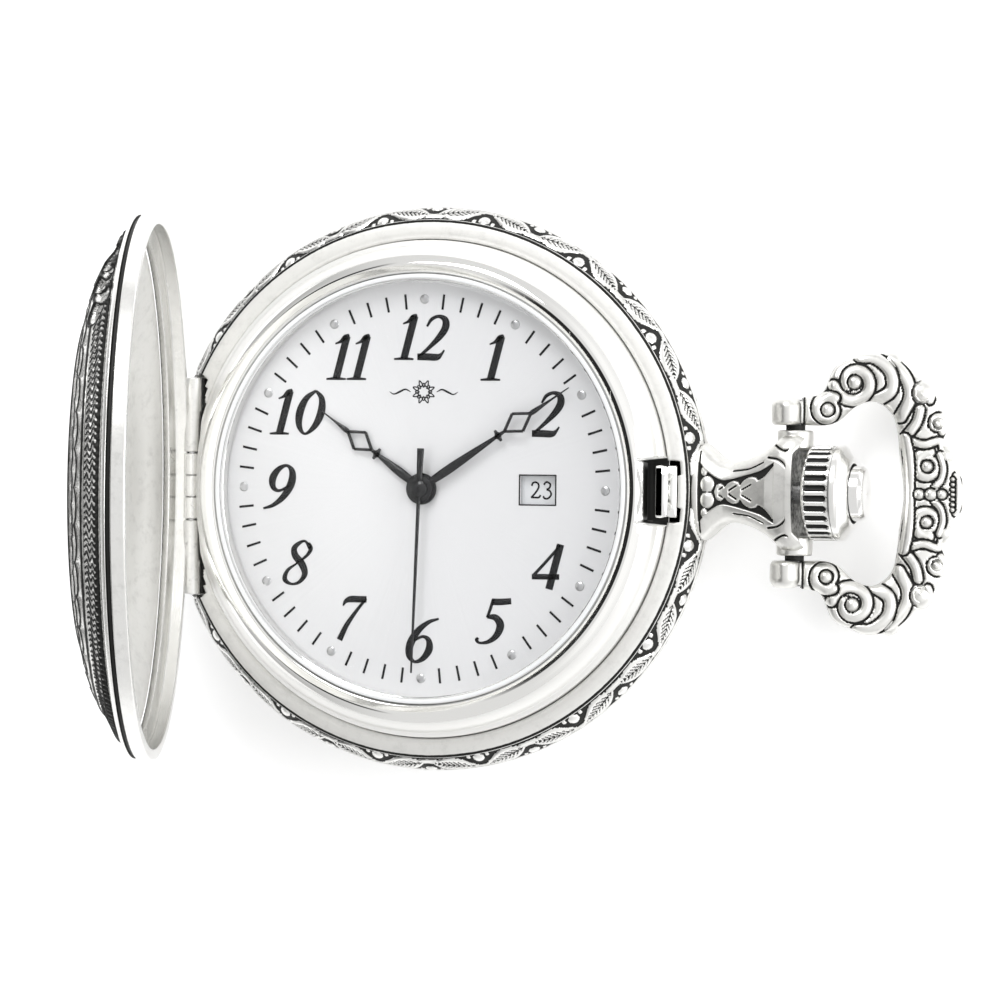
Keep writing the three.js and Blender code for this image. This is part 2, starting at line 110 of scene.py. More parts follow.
def spline(knots, count):
    """Catmull-Rom curve through the knots, evenly stepped in the knot number."""
    knots = np.asarray(knots, float)
    ends = np.vstack([2 * knots[0] - knots[1], knots, 2 * knots[-1] - knots[-2]])
    t = np.linspace(0, len(knots) - 1, count)
    i = np.minimum(t.astype(int), len(knots) - 2)
    f = (t - i)[:, None]
    a, b, c, d = ends[i], ends[i + 1], ends[i + 2], ends[i + 3]
    return 0.5 * (2 * b + (c - a) * f + (2 * a - 5 * b + 4 * c - d) * f**2 + (3 * b - a - 3 * c + d) * f**3)


def along(points, count):
    """The same polyline with its points evenly spaced by length."""
    points = np.asarray(points, float)
    run = np.r_[0, np.cumsum(np.linalg.norm(np.diff(points, axis=0), axis=1))]
    at = np.linspace(0, run[-1], count)
    return np.stack([np.interp(at, run, column) for column in points.T], -1)


def to_line(x, y, points):
    """Distance of each place (x, y) from a polyline."""
    best = np.full(np.shape(x), 1e9)
    for (ax, ay), (bx, by) in zip(points[:-1], points[1:]):
        dx, dy = bx - ax, by - ay
        f = np.clip(((x - ax) * dx + (y - ay) * dy) / (dx * dx + dy * dy + 1e-12), 0, 1)
        best = np.minimum(best, np.hypot(x - ax - f * dx, y - ay - f * dy))
    return best


def arc(cx, cy, radius, start, end, count=24, end_radius=None):
    """Arc or spiral round a centre, angles in degrees."""
    a = np.radians(np.linspace(start, end, count))
    r = np.linspace(radius, radius if end_radius is None else end_radius, count)
    return np.stack([cx + r * np.cos(a), cy + r * np.sin(a)], -1)


# ---- meshes ----
def volume(points, faces):
    """Signed volume of a mesh of quads, used to turn the faces outwards."""
    a, b, c, d = (points[faces[:, k]] for k in range(4))
    return np.sum(a * np.cross(b, c)) + np.sum(a * np.cross(c, d))


def surface(grid, wrap=(True, True)):
    """Quads over a grid of points; a wrapped direction joins its last line to its first."""
    nu, nv = grid.shape[:2]
    points = grid.reshape(-1, 3)
    u = np.arange(nu if wrap[0] else nu - 1)
    v = np.arange(nv if wrap[1] else nv - 1)
    u, v = (a.ravel() for a in np.meshgrid(u, v, indexing="ij"))
    u2, v2 = (u + 1) % nu, (v + 1) % nv
    faces = np.stack([u * nv + v, u2 * nv + v, u2 * nv + v2, u * nv + v2], -1)
    if volume(points - points.mean(0), faces) < 0:
        faces = faces[:, ::-1]
    return points, faces


def capped(grid):
    """A grid wrapped in v and open in u, with each end drawn in to its middle."""
    first = np.repeat(grid[:1].mean(1, keepdims=True), grid.shape[1], 1)
    last = np.repeat(grid[-1:].mean(1, keepdims=True), grid.shape[1], 1)
    return surface(np.concatenate([first, grid, last]), wrap=(False, True))


def piece(name, parts, material, body, replaces=(), marks=None):
    """One object from closed surfaces in millimetres, with its marks as point attributes."""
    counts = np.cumsum([0] + [len(points) for points, _ in parts])
    points = np.concatenate([part[0] for part in parts]) * MM
    faces = np.concatenate([part[1] + start for part, start in zip(parts, counts)])
    mesh = bpy.data.meshes.new(name)
    mesh.from_pydata(points, [], faces)
    for mark, values in (marks or {}).items():
        layer = mesh.attributes.new(mark, "FLOAT", "POINT")
        layer.data.foreach_set("value", np.ascontiguousarray(values, dtype=np.float32).ravel())
    merged = bmesh.new()
    merged.from_mesh(mesh)
    bmesh.ops.remove_doubles(merged, verts=merged.verts, dist=1e-7)
    bmesh.ops.dissolve_degenerate(merged, edges=merged.edges, dist=1e-8)
    merged.to_mesh(mesh)
    merged.free()
    mesh.shade_smooth()
    obj = bpy.data.objects.new(name, mesh)
    bpy.context.collection.objects.link(obj)
    mesh.materials.append(material)
    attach(obj, body)
    if replaces:
        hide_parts(*replaces)
    return obj


def metal_marks(recess, satin=None):
    """The two marks that the metals read: black recesses (oxide, and painted shade in gaps, slots and under
    parts), and satin ground (none if not given).
    """
    return {"recess": recess, "satin": np.zeros(np.shape(recess)) if satin is None else satin}


def turn(profile, steps, push=None):
    """Turned surface about Z: profile (r, z) carried round; push(angle) moves it along its normal."""
    profile = np.asarray(profile, float)
    a = np.arange(steps) / steps * TAU
    r = np.broadcast_to(profile[:, 0], (steps, len(profile)))
    z = np.broadcast_to(profile[:, 1], (steps, len(profile)))
    if push is not None:
        slope = np.gradient(profile, axis=0)
        slope /= np.linalg.norm(slope, axis=1, keepdims=True) + 1e-12
        r = r + push * slope[:, 1]
        z = z - push * slope[:, 0]
    return np.stack([r * np.cos(a)[:, None], r * np.sin(a)[:, None], z], -1)


def rounded(profile, radius, steps=3):
    """An outline with its corners rounded by short arcs."""
    profile = np.asarray(profile, float)
    out = []
    for before, corner, after in zip(np.roll(profile, 1, 0), profile, np.roll(profile, -1, 0)):
        to_a, to_b = before - corner, after - corner
        la, lb = np.linalg.norm(to_a), np.linalg.norm(to_b)
        cut = min(radius, la / 2.2, lb / 2.2)
        a, b = corner + to_a / la * cut, corner + to_b / lb * cut
        f = np.linspace(0, 1, steps)[:, None]
        out.append((1 - f) ** 2 * a + 2 * f * (1 - f) * corner + f**2 * b)
    return np.concatenate(out)


def about_x(grid):
    """Turns a shape made about Z so that it lies about the crown's axis, +Z becoming +X."""
    x, y, height = grid[..., 0], grid[..., 1], grid[..., 2]
    return np.stack([height, y, -x + CROWN_Z], -1)


def about_y(grid, at):
    """The same for an axis along +Y through the place given."""
    x, y, height = grid[..., 0], grid[..., 1], grid[..., 2]
    return np.stack([x + at[0], height + at[1], -y + at[2]], -1)


def turned_in_y(grid, angle, at):
    """Turns points by an angle about an axis along +Y through a place."""
    c, s = math.cos(angle), math.sin(angle)
    p = grid - np.asarray(at)
    return np.stack([p[..., 0] * c + p[..., 2] * s, p[..., 1], p[..., 2] * c - p[..., 0] * s], -1) + at


def lid_open(grid):
    """Closed-lid points moved to the open lid."""
    return turned_in_y(grid, -LID_OPEN, LID_AXIS)


def slab(outline, low, high, bevel):
    """A flat plate of a star-shaped outline, its upper edge bevelled, closed at its middle."""
    outline = np.asarray(outline, float)
    middle = outline.mean(0)
    eased = bevel / (np.abs(outline - middle).max() + TINY)
    rings = []
    for shrink, z in ((0.999, low), (0, low), (0, high - bevel), (eased, high), (0.999, high)):
        flat = middle + (outline - middle) * (1 - shrink)
        rings.append(np.concatenate([flat, np.full((len(flat), 1), z)], -1))
    return capped(np.stack(rings))


def ribbon(knots, low, high, count):
    """A pen stroke: a flat band along a smooth line, its width given at each knot (x, y, width)."""
    line = spline(knots, count)
    way = np.gradient(line[:, :2], axis=0)
    way /= np.linalg.norm(way, axis=1, keepdims=True) + 1e-12
    side = np.stack([-way[:, 1], way[:, 0]], -1) * line[:, 2:3] / 2
    left, right = line[:, :2] + side, line[:, :2] - side
    rims = [(left, low), (right, low), (right, high), (left, high)]
    grid = np.stack([np.concatenate([p, np.full((count, 1), z)], -1) for p, z in rims], 1)
    return capped(grid)


def ball(at, radius, squash=1.0, steps=20):
    """A sphere, or an ellipsoid flattened along Z, at a place."""
    a = np.linspace(-np.pi / 2, np.pi / 2, steps // 2 + 1)
    profile = np.stack([radius * np.cos(a), radius * squash * np.sin(a)], -1)
    return surface(turn(profile, steps) + np.asarray(at, float), wrap=(True, False))


# ---- materials ----
def group(name, inputs, outputs, build):
    """A shader group with named number sockets; build gets its nodes, links, input and output."""
    tree = bpy.data.node_groups.new(name, "ShaderNodeTree")
    for socket, kind, value in inputs:
        made = tree.interface.new_socket(socket, in_out="INPUT", socket_type=kind)
        made.default_value = value
    for socket, kind in outputs:
        tree.interface.new_socket(socket, in_out="OUTPUT", socket_type=kind)
    start, end = tree.nodes.new("NodeGroupInput"), tree.nodes.new("NodeGroupOutput")
    build(tree, start, end)
    return tree


def math_node(tree, operation, *values):
    """A Math node whose values are numbers or sockets."""
    node = tree.nodes.new("ShaderNodeMath")
    node.operation = operation
    for socket, value in zip(node.inputs, values):
        if isinstance(value, (int, float)):
            socket.default_value = value
        else:
            tree.links.new(value, socket)
    return node.outputs[0]


def noise(tree, vector, scale, detail=3.0, roughness=0.5):
    """A Noise texture at a place, as a value from 0 to 1."""
    node = tree.nodes.new("ShaderNodeTexNoise")
    node.inputs["Scale"].default_value = scale
    node.inputs["Detail"].default_value = detail
    node.inputs["Roughness"].default_value = roughness
    tree.links.new(vector, node.inputs["Vector"])
    return node.outputs["Fac"]


def remap(tree, value, low, high):
    """0 at the low value and 1 at the high one, with a smooth step between."""
    node = tree.nodes.new("ShaderNodeMapRange")
    node.interpolation_type = "SMOOTHSTEP"
    tree.links.new(value, node.inputs["Value"])
    node.inputs["From Min"].default_value = low
    node.inputs["From Max"].default_value = high
    return node.outputs["Result"]


def build_tarnish(tree, start, end):
    """Black oxide and painted shade: full where the mark says recess, broken at its edge by a fine noise.
    """
    place = tree.nodes.new("ShaderNodeTexCoord").outputs["Object"]
    speck = noise(tree, place, 2600, 4, 0.65)
    broad = noise(tree, place, 420, 2)
    edge = math_node(tree, "MULTIPLY_ADD", speck, 0.5, -0.25)
    value = math_node(tree, "ADD", start.outputs["Recess"], edge)
    value = math_node(tree, "ADD", value, math_node(tree, "MULTIPLY_ADD", broad, 0.3, -0.15))
    tree.links.new(remap(tree, value, 0.34, 0.72), end.inputs["Oxide_and_shade"])
    smudge = remap(tree, noise(tree, place, 900, 5, 0.7), 0.45, 0.8)
    tree.links.new(math_node(tree, "MULTIPLY", smudge, start.outputs["Smudge"]), end.inputs["Stain"])


def build_grain(tree, start, end):
    """Turned brushing: fine rings round Z, from noise stretched along the angle."""
    place = tree.nodes.new("ShaderNodeTexCoord").outputs["Object"]
    apart = tree.nodes.new("ShaderNodeSeparateXYZ")
    tree.links.new(place, apart.inputs[0])
    x, y, z = apart.outputs
    squares = math_node(tree, "ADD", math_node(tree, "MULTIPLY", x, x), math_node(tree, "MULTIPLY", y, y))
    radius = math_node(tree, "SQRT", squares)
    angle = math_node(tree, "ARCTAN2", y, x)
    joined = tree.nodes.new("ShaderNodeCombineXYZ")
    tree.links.new(math_node(tree, "MULTIPLY", radius, start.outputs["Fineness"]), joined.inputs[0])
    tree.links.new(math_node(tree, "MULTIPLY", angle, 2.2), joined.inputs[1])
    tree.links.new(math_node(tree, "MULTIPLY", z, start.outputs["Fineness"]), joined.inputs[2])
    tree.links.new(noise(tree, joined.outputs[0], 1.0, 4, 0.7), end.inputs["Grain"])


def build_wear(tree, start, end):
    """Handling wear: soft clouds with a few finer scratches, as one value round a half."""
    place = tree.nodes.new("ShaderNodeTexCoord").outputs["Object"]
    cloud = noise(tree, place, 130, 4, 0.6)
    stretched = tree.nodes.new("ShaderNodeMapping")
    stretched.inputs["Scale"].default_value = (4200, 260, 900)
    stretched.inputs["Rotation"].default_value = (0.4, 0.2, 0.7)
    tree.links.new(place, stretched.inputs["Vector"])
    scratch = remap(tree, noise(tree, stretched.outputs[0], 1.0, 2), 0.68, 0.78)
    mixed = math_node(tree, "MULTIPLY_ADD", scratch, 0.25, cloud)
    tree.links.new(math_node(tree, "MULTIPLY", mixed, start.outputs["Amount"]), end.inputs["Wear"])


NUMBER = "NodeSocketFloat"
OXIDE_AND_SHADE_GROUP = group("oxide_and_painted_shade", [("Recess", NUMBER, 0), ("Smudge", NUMBER, 0.3)],
                [("Oxide_and_shade", NUMBER), ("Stain", NUMBER)], build_tarnish)
GRAIN = group("turned_grain", [("Fineness", NUMBER, 30000)], [("Grain", NUMBER)], build_grain)
WEAR = group("handling_wear", [("Amount", NUMBER, 1)], [("Wear", NUMBER)], build_wear)


def new_material(name):
    """A material with its nodes and its Principled shader."""
    material = bpy.data.materials.new(name)
    material.use_nodes = True
    return material, material.node_tree, material.node_tree.nodes["Principled BSDF"]


def place_group(tree, made, **values):
    """A group's node with its sockets set to numbers or linked to other sockets."""
    node = tree.nodes.new("ShaderNodeGroup")
    node.node_tree = made
    for socket, value in values.items():
        if isinstance(value, (int, float)):
            node.inputs[socket].default_value = value
        else:
            tree.links.new(value, node.inputs[socket])
    return node.outputs


def mark_value(tree, mark):
    """The value of one of the mesh's own marks."""
    node = tree.nodes.new("ShaderNodeAttribute")
    node.attribute_name = mark
    return node.outputs["Fac"]


def mix_color(tree, factor, a, b):
    """A colour between two, each a colour or a socket."""
    node = tree.nodes.new("ShaderNodeMix")
    node.data_type = "RGBA"
    tree.links.new(factor, node.inputs["Factor"])
    for socket, value in ((node.inputs[6], a), (node.inputs[7], b)):
        if isinstance(value, tuple):
            socket.default_value = (*value, 1)
        else:
            tree.links.new(value, socket)
    return node.outputs[2]


def bump(tree, height, strength, distance):
    """A Bump node on a height, as a normal."""
    node = tree.nodes.new("ShaderNodeBump")
    node.inputs["Strength"].default_value = strength
    node.inputs["Distance"].default_value = distance
    tree.links.new(height, node.inputs["Height"])
    return node.outputs["Normal"]


PALE_METAL = (0.82, 0.816, 0.797)
SHADED_METAL = (0.75, 0.745, 0.72)
# near-black, for oxide and for painted shade
OXIDE_AND_SHADE_BLACK = (0.006, 0.006, 0.005)


def antique_metal(name, smudge=0.35, rough=0.27, grain=0.0, plate=PALE_METAL):
    """Plated metal, blackened in its recesses and rubbed bright on top, with optional turned grain; the
    blackening is oxide in the chasing and painted shade where the marks put shade.
    """
    material, tree, shader = new_material(name)
    blackening, stain = place_group(tree, OXIDE_AND_SHADE_GROUP, Recess=mark_value(tree, "recess"), Smudge=smudge)
    wear = place_group(tree, WEAR, Amount=1.0)[0]
    stained = mix_color(tree, math_node(tree, "MULTIPLY", stain, 0.5), plate, (0.30, 0.295, 0.28))
    # blackens with oxide in the chasing and with painted shade where the marks ask for it
    tree.links.new(mix_color(tree, blackening, stained, OXIDE_AND_SHADE_BLACK), shader.inputs["Base Color"])
    tree.links.new(math_node(tree, "MULTIPLY_ADD", blackening, -0.75, 1.0), shader.inputs["Metallic"])
    roughness = math_node(tree, "MULTIPLY_ADD", wear, 0.16, rough - 0.08)
    roughness = math_node(tree, "MULTIPLY_ADD", blackening, 0.3, roughness)
    height = place_group(tree, WEAR, Amount=0.4)[0]
    if grain:
        rings = place_group(tree, GRAIN, Fineness=26000.0)[0]
        rings = math_node(tree, "MULTIPLY", rings, mark_value(tree, "satin"))
        roughness = math_node(tree, "MULTIPLY_ADD", rings, 0.22, roughness)
        height = math_node(tree, "MULTIPLY_ADD", rings, grain, height)
        roughness = math_node(tree, "MULTIPLY_ADD", mark_value(tree, "satin"), 0.26, roughness)
    tree.links.new(roughness, shader.inputs["Roughness"])
    tree.links.new(bump(tree, height, 0.35, 0.00002), shader.inputs["Normal"])
    return material


def polished_metal(name, color=(0.90, 0.90, 0.885), rough=0.05):
    """Mirror-polished plate with faint waves and hairlines."""
    material, tree, shader = new_material(name)
    shader.inputs["Metallic"].default_value = 1.0
    wear = place_group(tree, WEAR, Amount=1.0)[0]
    duller = tuple(0.93 * c for c in color)
    tree.links.new(mix_color(tree, wear, color, duller), shader.inputs["Base Color"])
    roughness = math_node(tree, "MULTIPLY_ADD", wear, 0.08, rough - 0.03)
    tree.links.new(roughness, shader.inputs["Roughness"])
    tree.links.new(bump(tree, wear, 0.12, 0.00001), shader.inputs["Normal"])
    return material


def plain_finish(name, color, metallic, rough, vary=0.08, noise_scale=600, coat=0.0, gloss=0.5):
    """Any simple finish: a colour that drifts a little, and a fine texture in gloss and height."""
    material, tree, shader = new_material(name)
    place = tree.nodes.new("ShaderNodeTexCoord").outputs["Object"]
    drift = noise(tree, place, noise_scale, 4, 0.6)
    darker = tuple(c * (1 - vary) for c in color)
    tree.links.new(mix_color(tree, drift, color, darker), shader.inputs["Base Color"])
    shader.inputs["Metallic"].default_value = metallic
    shader.inputs["Coat Weight"].default_value = coat
    shader.inputs["Specular IOR Level"].default_value = gloss
    roughness = math_node(tree, "MULTIPLY_ADD", drift, 0.12, rough - 0.06)
    tree.links.new(roughness, shader.inputs["Roughness"])
    fine = noise(tree, place, noise_scale * 9, 3)
    tree.links.new(bump(tree, fine, 0.15, 0.00001), shader.inputs["Normal"])
    return material


def lacquered_dial():
    """Silvery white lacquer: a faint sunray from the middle under a thin coat."""
    material, tree, shader = new_material("dial_lacquer")
    place = tree.nodes.new("ShaderNodeTexCoord").outputs["Object"]
    apart = tree.nodes.new("ShaderNodeSeparateXYZ")
    tree.links.new(place, apart.inputs[0])
    angle = math_node(tree, "ARCTAN2", apart.outputs[1], apart.outputs[0])
    ray = tree.nodes.new("ShaderNodeTexNoise")
    ray.noise_dimensions = "1D"
    ray.inputs["Scale"].default_value = 46
    ray.inputs["Detail"].default_value = 5
    tree.links.new(angle, ray.inputs["W"])
    pearl = noise(tree, place, 5200, 3, 0.6)
    grains = math_node(tree, "MULTIPLY", pearl, 0.4)
    mixed = math_node(tree, "MULTIPLY_ADD", ray.outputs["Fac"], 0.6, grains)
    lacquer = mix_color(tree, mixed, (0.66, 0.66, 0.665), (0.615, 0.615, 0.62))
    tree.links.new(lacquer, shader.inputs["Base Color"])
    tree.links.new(math_node(tree, "MULTIPLY_ADD", mixed, 0.16, 0.30), shader.inputs["Roughness"])
    shader.inputs["Metallic"].default_value = 0.12
    shader.inputs["Coat Weight"].default_value = 0.25
    tree.links.new(bump(tree, pearl, 0.05, 0.00001), shader.inputs["Normal"])
    return material


def crystal_glass():
    """Clear bloomed glass with a little dust in its gloss; shadow and diffuse rays pass through it."""
    material, tree, shader = new_material("crystal_glass")
    place = tree.nodes.new("ShaderNodeTexCoord").outputs["Object"]
    dust = remap(tree, noise(tree, place, 5200, 2), 0.72, 0.80)
    tint = mix_color(tree, dust, (0.985, 0.99, 1.0), (0.93, 0.93, 0.93))
    tree.links.new(tint, shader.inputs["Base Color"])
    tree.links.new(math_node(tree, "MULTIPLY_ADD", dust, 0.04, 0.0), shader.inputs["Roughness"])
    shader.inputs["Metallic"].default_value = 0.0
    shader.inputs["Transmission Weight"].default_value = 1.0
    shader.inputs["IOR"].default_value = 1.2
    rays = tree.nodes.new("ShaderNodeLightPath").outputs
    through = math_node(tree, "MAXIMUM", rays["Is Shadow Ray"], rays["Is Diffuse Ray"])
    clear = tree.nodes.new("ShaderNodeBsdfTransparent")
    mixed = tree.nodes.new("ShaderNodeMixShader")
    tree.links.new(through, mixed.inputs[0])
    tree.links.new(shader.outputs[0], mixed.inputs[1])
    tree.links.new(clear.outputs[0], mixed.inputs[2])
    tree.links.new(mixed.outputs[0], tree.nodes["Material Output"].inputs["Surface"])
    return material


CASE_METAL = antique_metal("case_metal", rough=0.3, grain=1.2)
CHASED_METAL = antique_metal("chased_metal", smudge=0.7, rough=0.36, plate=SHADED_METAL)
LID_METAL = antique_metal("lid_metal", smudge=0.45, rough=0.25, grain=0.6)
MIRROR_METAL = polished_metal("mirror_plate")
BUTTON_METAL = polished_metal("button_plate", color=(0.86, 0.855, 0.84), rough=0.12)
STEEL = plain_finish("spring_steel", (0.62, 0.62, 0.63), 1.0, 0.28)
BRASS = plain_finish("movement_brass", (0.72, 0.55, 0.26), 1.0, 0.3)
COPPER = plain_finish("coil_copper", (0.62, 0.27, 0.12), 0.9, 0.3, noise_scale=2400)
BOARD = plain_finish("circuit_board", (0.04, 0.2, 0.09), 0.0, 0.35, coat=0.4)
RUBBER = plain_finish("seal_rubber", (0.02, 0.02, 0.021), 0.0, 0.7)
PLASTIC = plain_finish("movement_plastic", (0.72, 0.71, 0.67), 0.0, 0.45)
GASKET = plain_finish("crystal_gasket", (0.78, 0.79, 0.80), 0.0, 0.25, coat=0.6)
CELL = plain_finish("battery_steel", (0.78, 0.78, 0.79), 1.0, 0.2)
BLACK = (0.012, 0.012, 0.013)
INK = plain_finish("printing_ink", BLACK, 0.0, 0.5, vary=0.3, noise_scale=2500, gloss=0.12)
HAND_BLACK = plain_finish("hand_lacquer", BLACK, 0.0, 0.3, vary=0.3, gloss=0.3)
SILVER_DOT = plain_finish("silver_dots", (0.50, 0.50, 0.50), 1.0, 0.3)
DATE_PAPER = plain_finish("date_ring_print", (0.66, 0.67, 0.68), 0.15, 0.45)
DIAL_WHITE = lacquered_dial()
GLASS = crystal_glass()


# ---- case middle, with its chased band ----
BAND_KNOTS = [[22.9, 3.62], [23.1, 3.9], [23.6, 5.1], [23.75, 6.2], [23.5, 7.3], [22.56, 8.5]]
BAND_POINTS = 56
UNITS = 32                 # leaves round the band
RELIEF = 0.17              # depth of the band's chasing
SLOT_HALF = 2.55           # half width of the catch's slot
SEAT_HALF = 9.4            # half length of the flat that the hinge lies on
KNUCKLE_GAP = 2.9          # where the case's two knuckles begin, either side of the lid's
KNUCKLE_END = 9.2


def leaf(x, y, length, width, tilt, vein=0.42):
    """Pointed leaf lying along x: smooth and rounded, with a cut sprig of barbs down its middle.

    Its half width is width*(1 - |p/length|^1.8) in leaf axes (p, q); the sprig's half width is half of
    that, and its barbs are cos(2 pi (p + |q|)/vein). Gives (height 0 to 1, oxide 0 to 1, inside mask).
    """
    p = x * np.cos(tilt) + y * np.sin(tilt)
    q = y * np.cos(tilt) - x * np.sin(tilt)
    half = width * (1 - np.clip(np.abs(p / length), 0, 1) ** 1.8)
    inside = smooth((half - np.abs(q)) / 0.12)
    barbs = smooth(0.25 + 1.1 * np.cos(TAU * (p + 1.2 * np.abs(q)) / vein))
    sprig = smooth((0.68 * half - 0.08 - np.abs(q)) / 0.07) * barbs
    sprig = np.maximum(sprig, smooth((0.06 - np.abs(q)) / 0.04) * smooth((0.8 * length - np.abs(p)) / 0.2))
    rounding = 0.82 + 0.18 * dome(q, width)
    return inside * rounding * (1 - 0.75 * sprig), inside * sprig, inside


def band_relief(t, v, half):
    """Relief of the band at t round it and v across from its middle, both in mm.

    Two mirrored rows. In each a ribbon waves with cos(pi t/unit), a leaf lies over each of its
    crossings, and a berry (half sphere) sits in each hollow; rims run along both edges.
    """
    unit = TAU * CASE_R / UNITS
    number = np.floor(t / unit)
    sign = np.where(number % 2 == 0, 1.0, -1.0)
    x = t - (number + 0.5) * unit
    y = (np.abs(v) - half * 0.5) / (half / 2.55)
    blade_height, dark, inside = leaf(x, y, 2.15, 0.98, sign * -0.26)
    wave = 0.66 * np.cos(np.pi * t / unit)
    slope = 0.66 * np.pi / unit * np.sin(np.pi * t / unit)
    off = np.abs(y - wave) / np.sqrt(1 + slope**2)
    vine = smooth((0.27 - off) / 0.08)
    vine = vine * (0.72 + 0.28 * smooth(off / 0.12))
    nearest = np.round(t / unit)
    side = np.where(nearest % 2 == 0, -1.0, 1.0)
    berry = 1.25 * dome(np.hypot(t - nearest * unit, y - side * 0.62), 0.5)
    bead = 0.9 * dome(np.hypot(np.abs(t - nearest * unit) - 0.85, y - side * 0.86), 0.2)
    rim = np.maximum(smooth((np.abs(v) - half * 0.935) / 0.06), smooth((half * 0.045 - np.abs(v)) / 0.05))
    height = highest(blade_height, vine * (1 - inside), berry * (1 - inside), bead * (1 - inside), rim)
    blackening = np.maximum(smooth((0.42 - height) / 0.3), dark)
    return height, blackening


def knuckle(y0, y1, radius=0.75):
    """One hinge knuckle along Y: a turned barrel with softened ends, on the hinge axis."""
    outline = rounded([[0.02, y0], [radius, y0], [radius, y1], [0.02, y1]], 0.12)
    return surface(about_y(turn(outline, 28), [LID_AXIS[0], 0, LID_AXIS[2]]))


def block(low, high, bevel=0.06):
    """A small filed block between two corners, its upright edges eased."""
    (x0, y0, z0), (x1, y1, z1) = low, high
    corners = [[x0, y0], [x1, y0], [x1, y1], [x0, y1]]
    return slab(rounded(corners, bevel), z0, z1, bevel)


def case_middle():
    """The band's curve is a spline of (r, z); its relief moves it inwards along its normal."""
    steps = 43 * UNITS
    band = along(spline(BAND_KNOTS, 200), BAND_POINTS)
    ring = [[22.42, 8.55], [22.3, 8.62], [22.0, 8.68], [21.7, 8.7], [21.4, 8.71], [21.3, 8.68],
            [21.2, 8.71]]
    inside = [[20.98, 8.7], [20.95, 8.6], [20.95, 8.2], [19.4, 8.2], [19.4, 5.6], [19.4, 3.0],
              [21, 3.0]]
    profile = np.vstack([[22.2, 3.0], band, ring, inside])
    run = np.r_[0, np.cumsum(np.linalg.norm(np.diff(band, axis=0), axis=1))]
    half = run[-1] / 2
    angle = np.arange(steps)[:, None] / steps * TAU
    height, blackening = band_relief(angle * CASE_R, (run - half)[None, :], half)
    push = np.zeros((steps, len(profile)))
    push[:, 1:BAND_POINTS + 1] = (np.clip(height, 0, 1.25) - 1.0) * RELIEF
    recess = np.zeros_like(push)
    recess[:, 1:BAND_POINTS + 1] = blackening
    recess[:, BAND_POINTS] = recess[:, BAND_POINTS + 1] = 0.9
    recess[:, BAND_POINTS + 4:BAND_POINTS + 6] = 0.2
    satin = np.zeros_like(push)
    satin[:, BAND_POINTS + 1:BAND_POINTS + 9] = 1
    # painted shade: the inner walls under the bezel are greyed, as shade in the gap
    recess[:, BAND_POINTS + 9:] = 0.25
    grid = turn(profile, steps, push)
    x, y, z = grid[..., 0], grid[..., 1], grid[..., 2]
    seat = (x < -20.0) & (np.abs(y) < SEAT_HALF)
    z[seat] = np.minimum(z[seat], 7.5)
    # painted shade: the seat's top under the hinge is greyed, as shade under the knuckles
    recess[seat & (z > 7.3)] = 0.5
    pocket = (x > 18.75) & (x < 21.66) & (np.abs(y) < SLOT_HALF)
    # painted shade: the catch's slot is painted black, as shade in the deep slot
    recess[pocket & (z > 4.4)] = 1.0
    z[pocket] = np.minimum(z[pocket], 4.4)
    parts = [surface(grid)]
    marks = [recess.ravel()]
    for y0, y1 in ((KNUCKLE_GAP, KNUCKLE_END), (-KNUCKLE_END, -KNUCKLE_GAP)):
        parts.append(knuckle(y0, y1))
        parts.append(block((-21.55, y0 + 0.05, 7.4), (-20.2, y1 - 0.05, 8.3)))
    # painted shade: every block under a case knuckle is painted nearly black, as shade under the hinge
    for number, (points, _) in enumerate(parts[1:]):
        marks.append(np.full(len(points), (0.34, 0.75)[number % 2]))
    satins = np.concatenate([satin.ravel(), np.zeros(sum(len(mark) for mark in marks[1:]))])
    return piece("case_middle_chased", parts, CASE_METAL, "case", ["case_middle"],
                 metal_marks(np.concatenate(marks), satins))


def bezel():
    """The bezel's section with softened corners turned once round, with the catch's slot cut in."""
    crest = spline([[20.42, 9.75], [20.2, 10.25], [19.75, 10.85], [19.25, 11.3], [18.98, 11.48],
                    [18.8, 11.57], [18.6, 11.555], [18.4, 11.52], [18.2, 11.48], [18.06, 11.38],
                    [17.99, 11.2]], 60)
    foot = rounded([[17.98, 11.15], [17.28, 11.12], [17.28, 10.1], [18.9, 10.1], [18.9, 8.3], [20.9, 8.3],
                    [20.85, 9.3], [20.5, 9.62]], 0.09, 4)
    outline = np.vstack([crest, foot])
    outline = along(np.vstack([outline, outline[:1]]), 120)[:-1]
    grid = turn(outline, 720)
    x, y, z = grid[..., 0], grid[..., 1], grid[..., 2]
    recess = np.zeros(x.shape)
    radius = outline[:, 0]
    cut_columns = ((x[:, 0] > 0) & (np.abs(y[:, 0]) < SLOT_HALF + 0.2))[:, None]
    x[:] = np.where(cut_columns & (radius > 18.9), radius, x)
    floor = cut_columns & (radius > 19.0)
    z[:] = np.where(floor, np.minimum(z, 8.46), z)
    # painted shade: the slot's floor is painted black, as shade in the slot
    recess[floor] = 1
    x[:] = np.maximum(x, -20.05)
    # painted shade: the foot below 8.9 mm is greyed, as shade in the gap against the case
    recess[:, outline[:, 1] < 8.9] = 0.25
    satin = np.broadcast_to(smooth((radius - 19.45) / 0.12), x.shape)
    return piece("bezel_polished", [surface(grid)], BEZEL_METAL, "case", ["bezel"],
                 metal_marks(recess, satin))


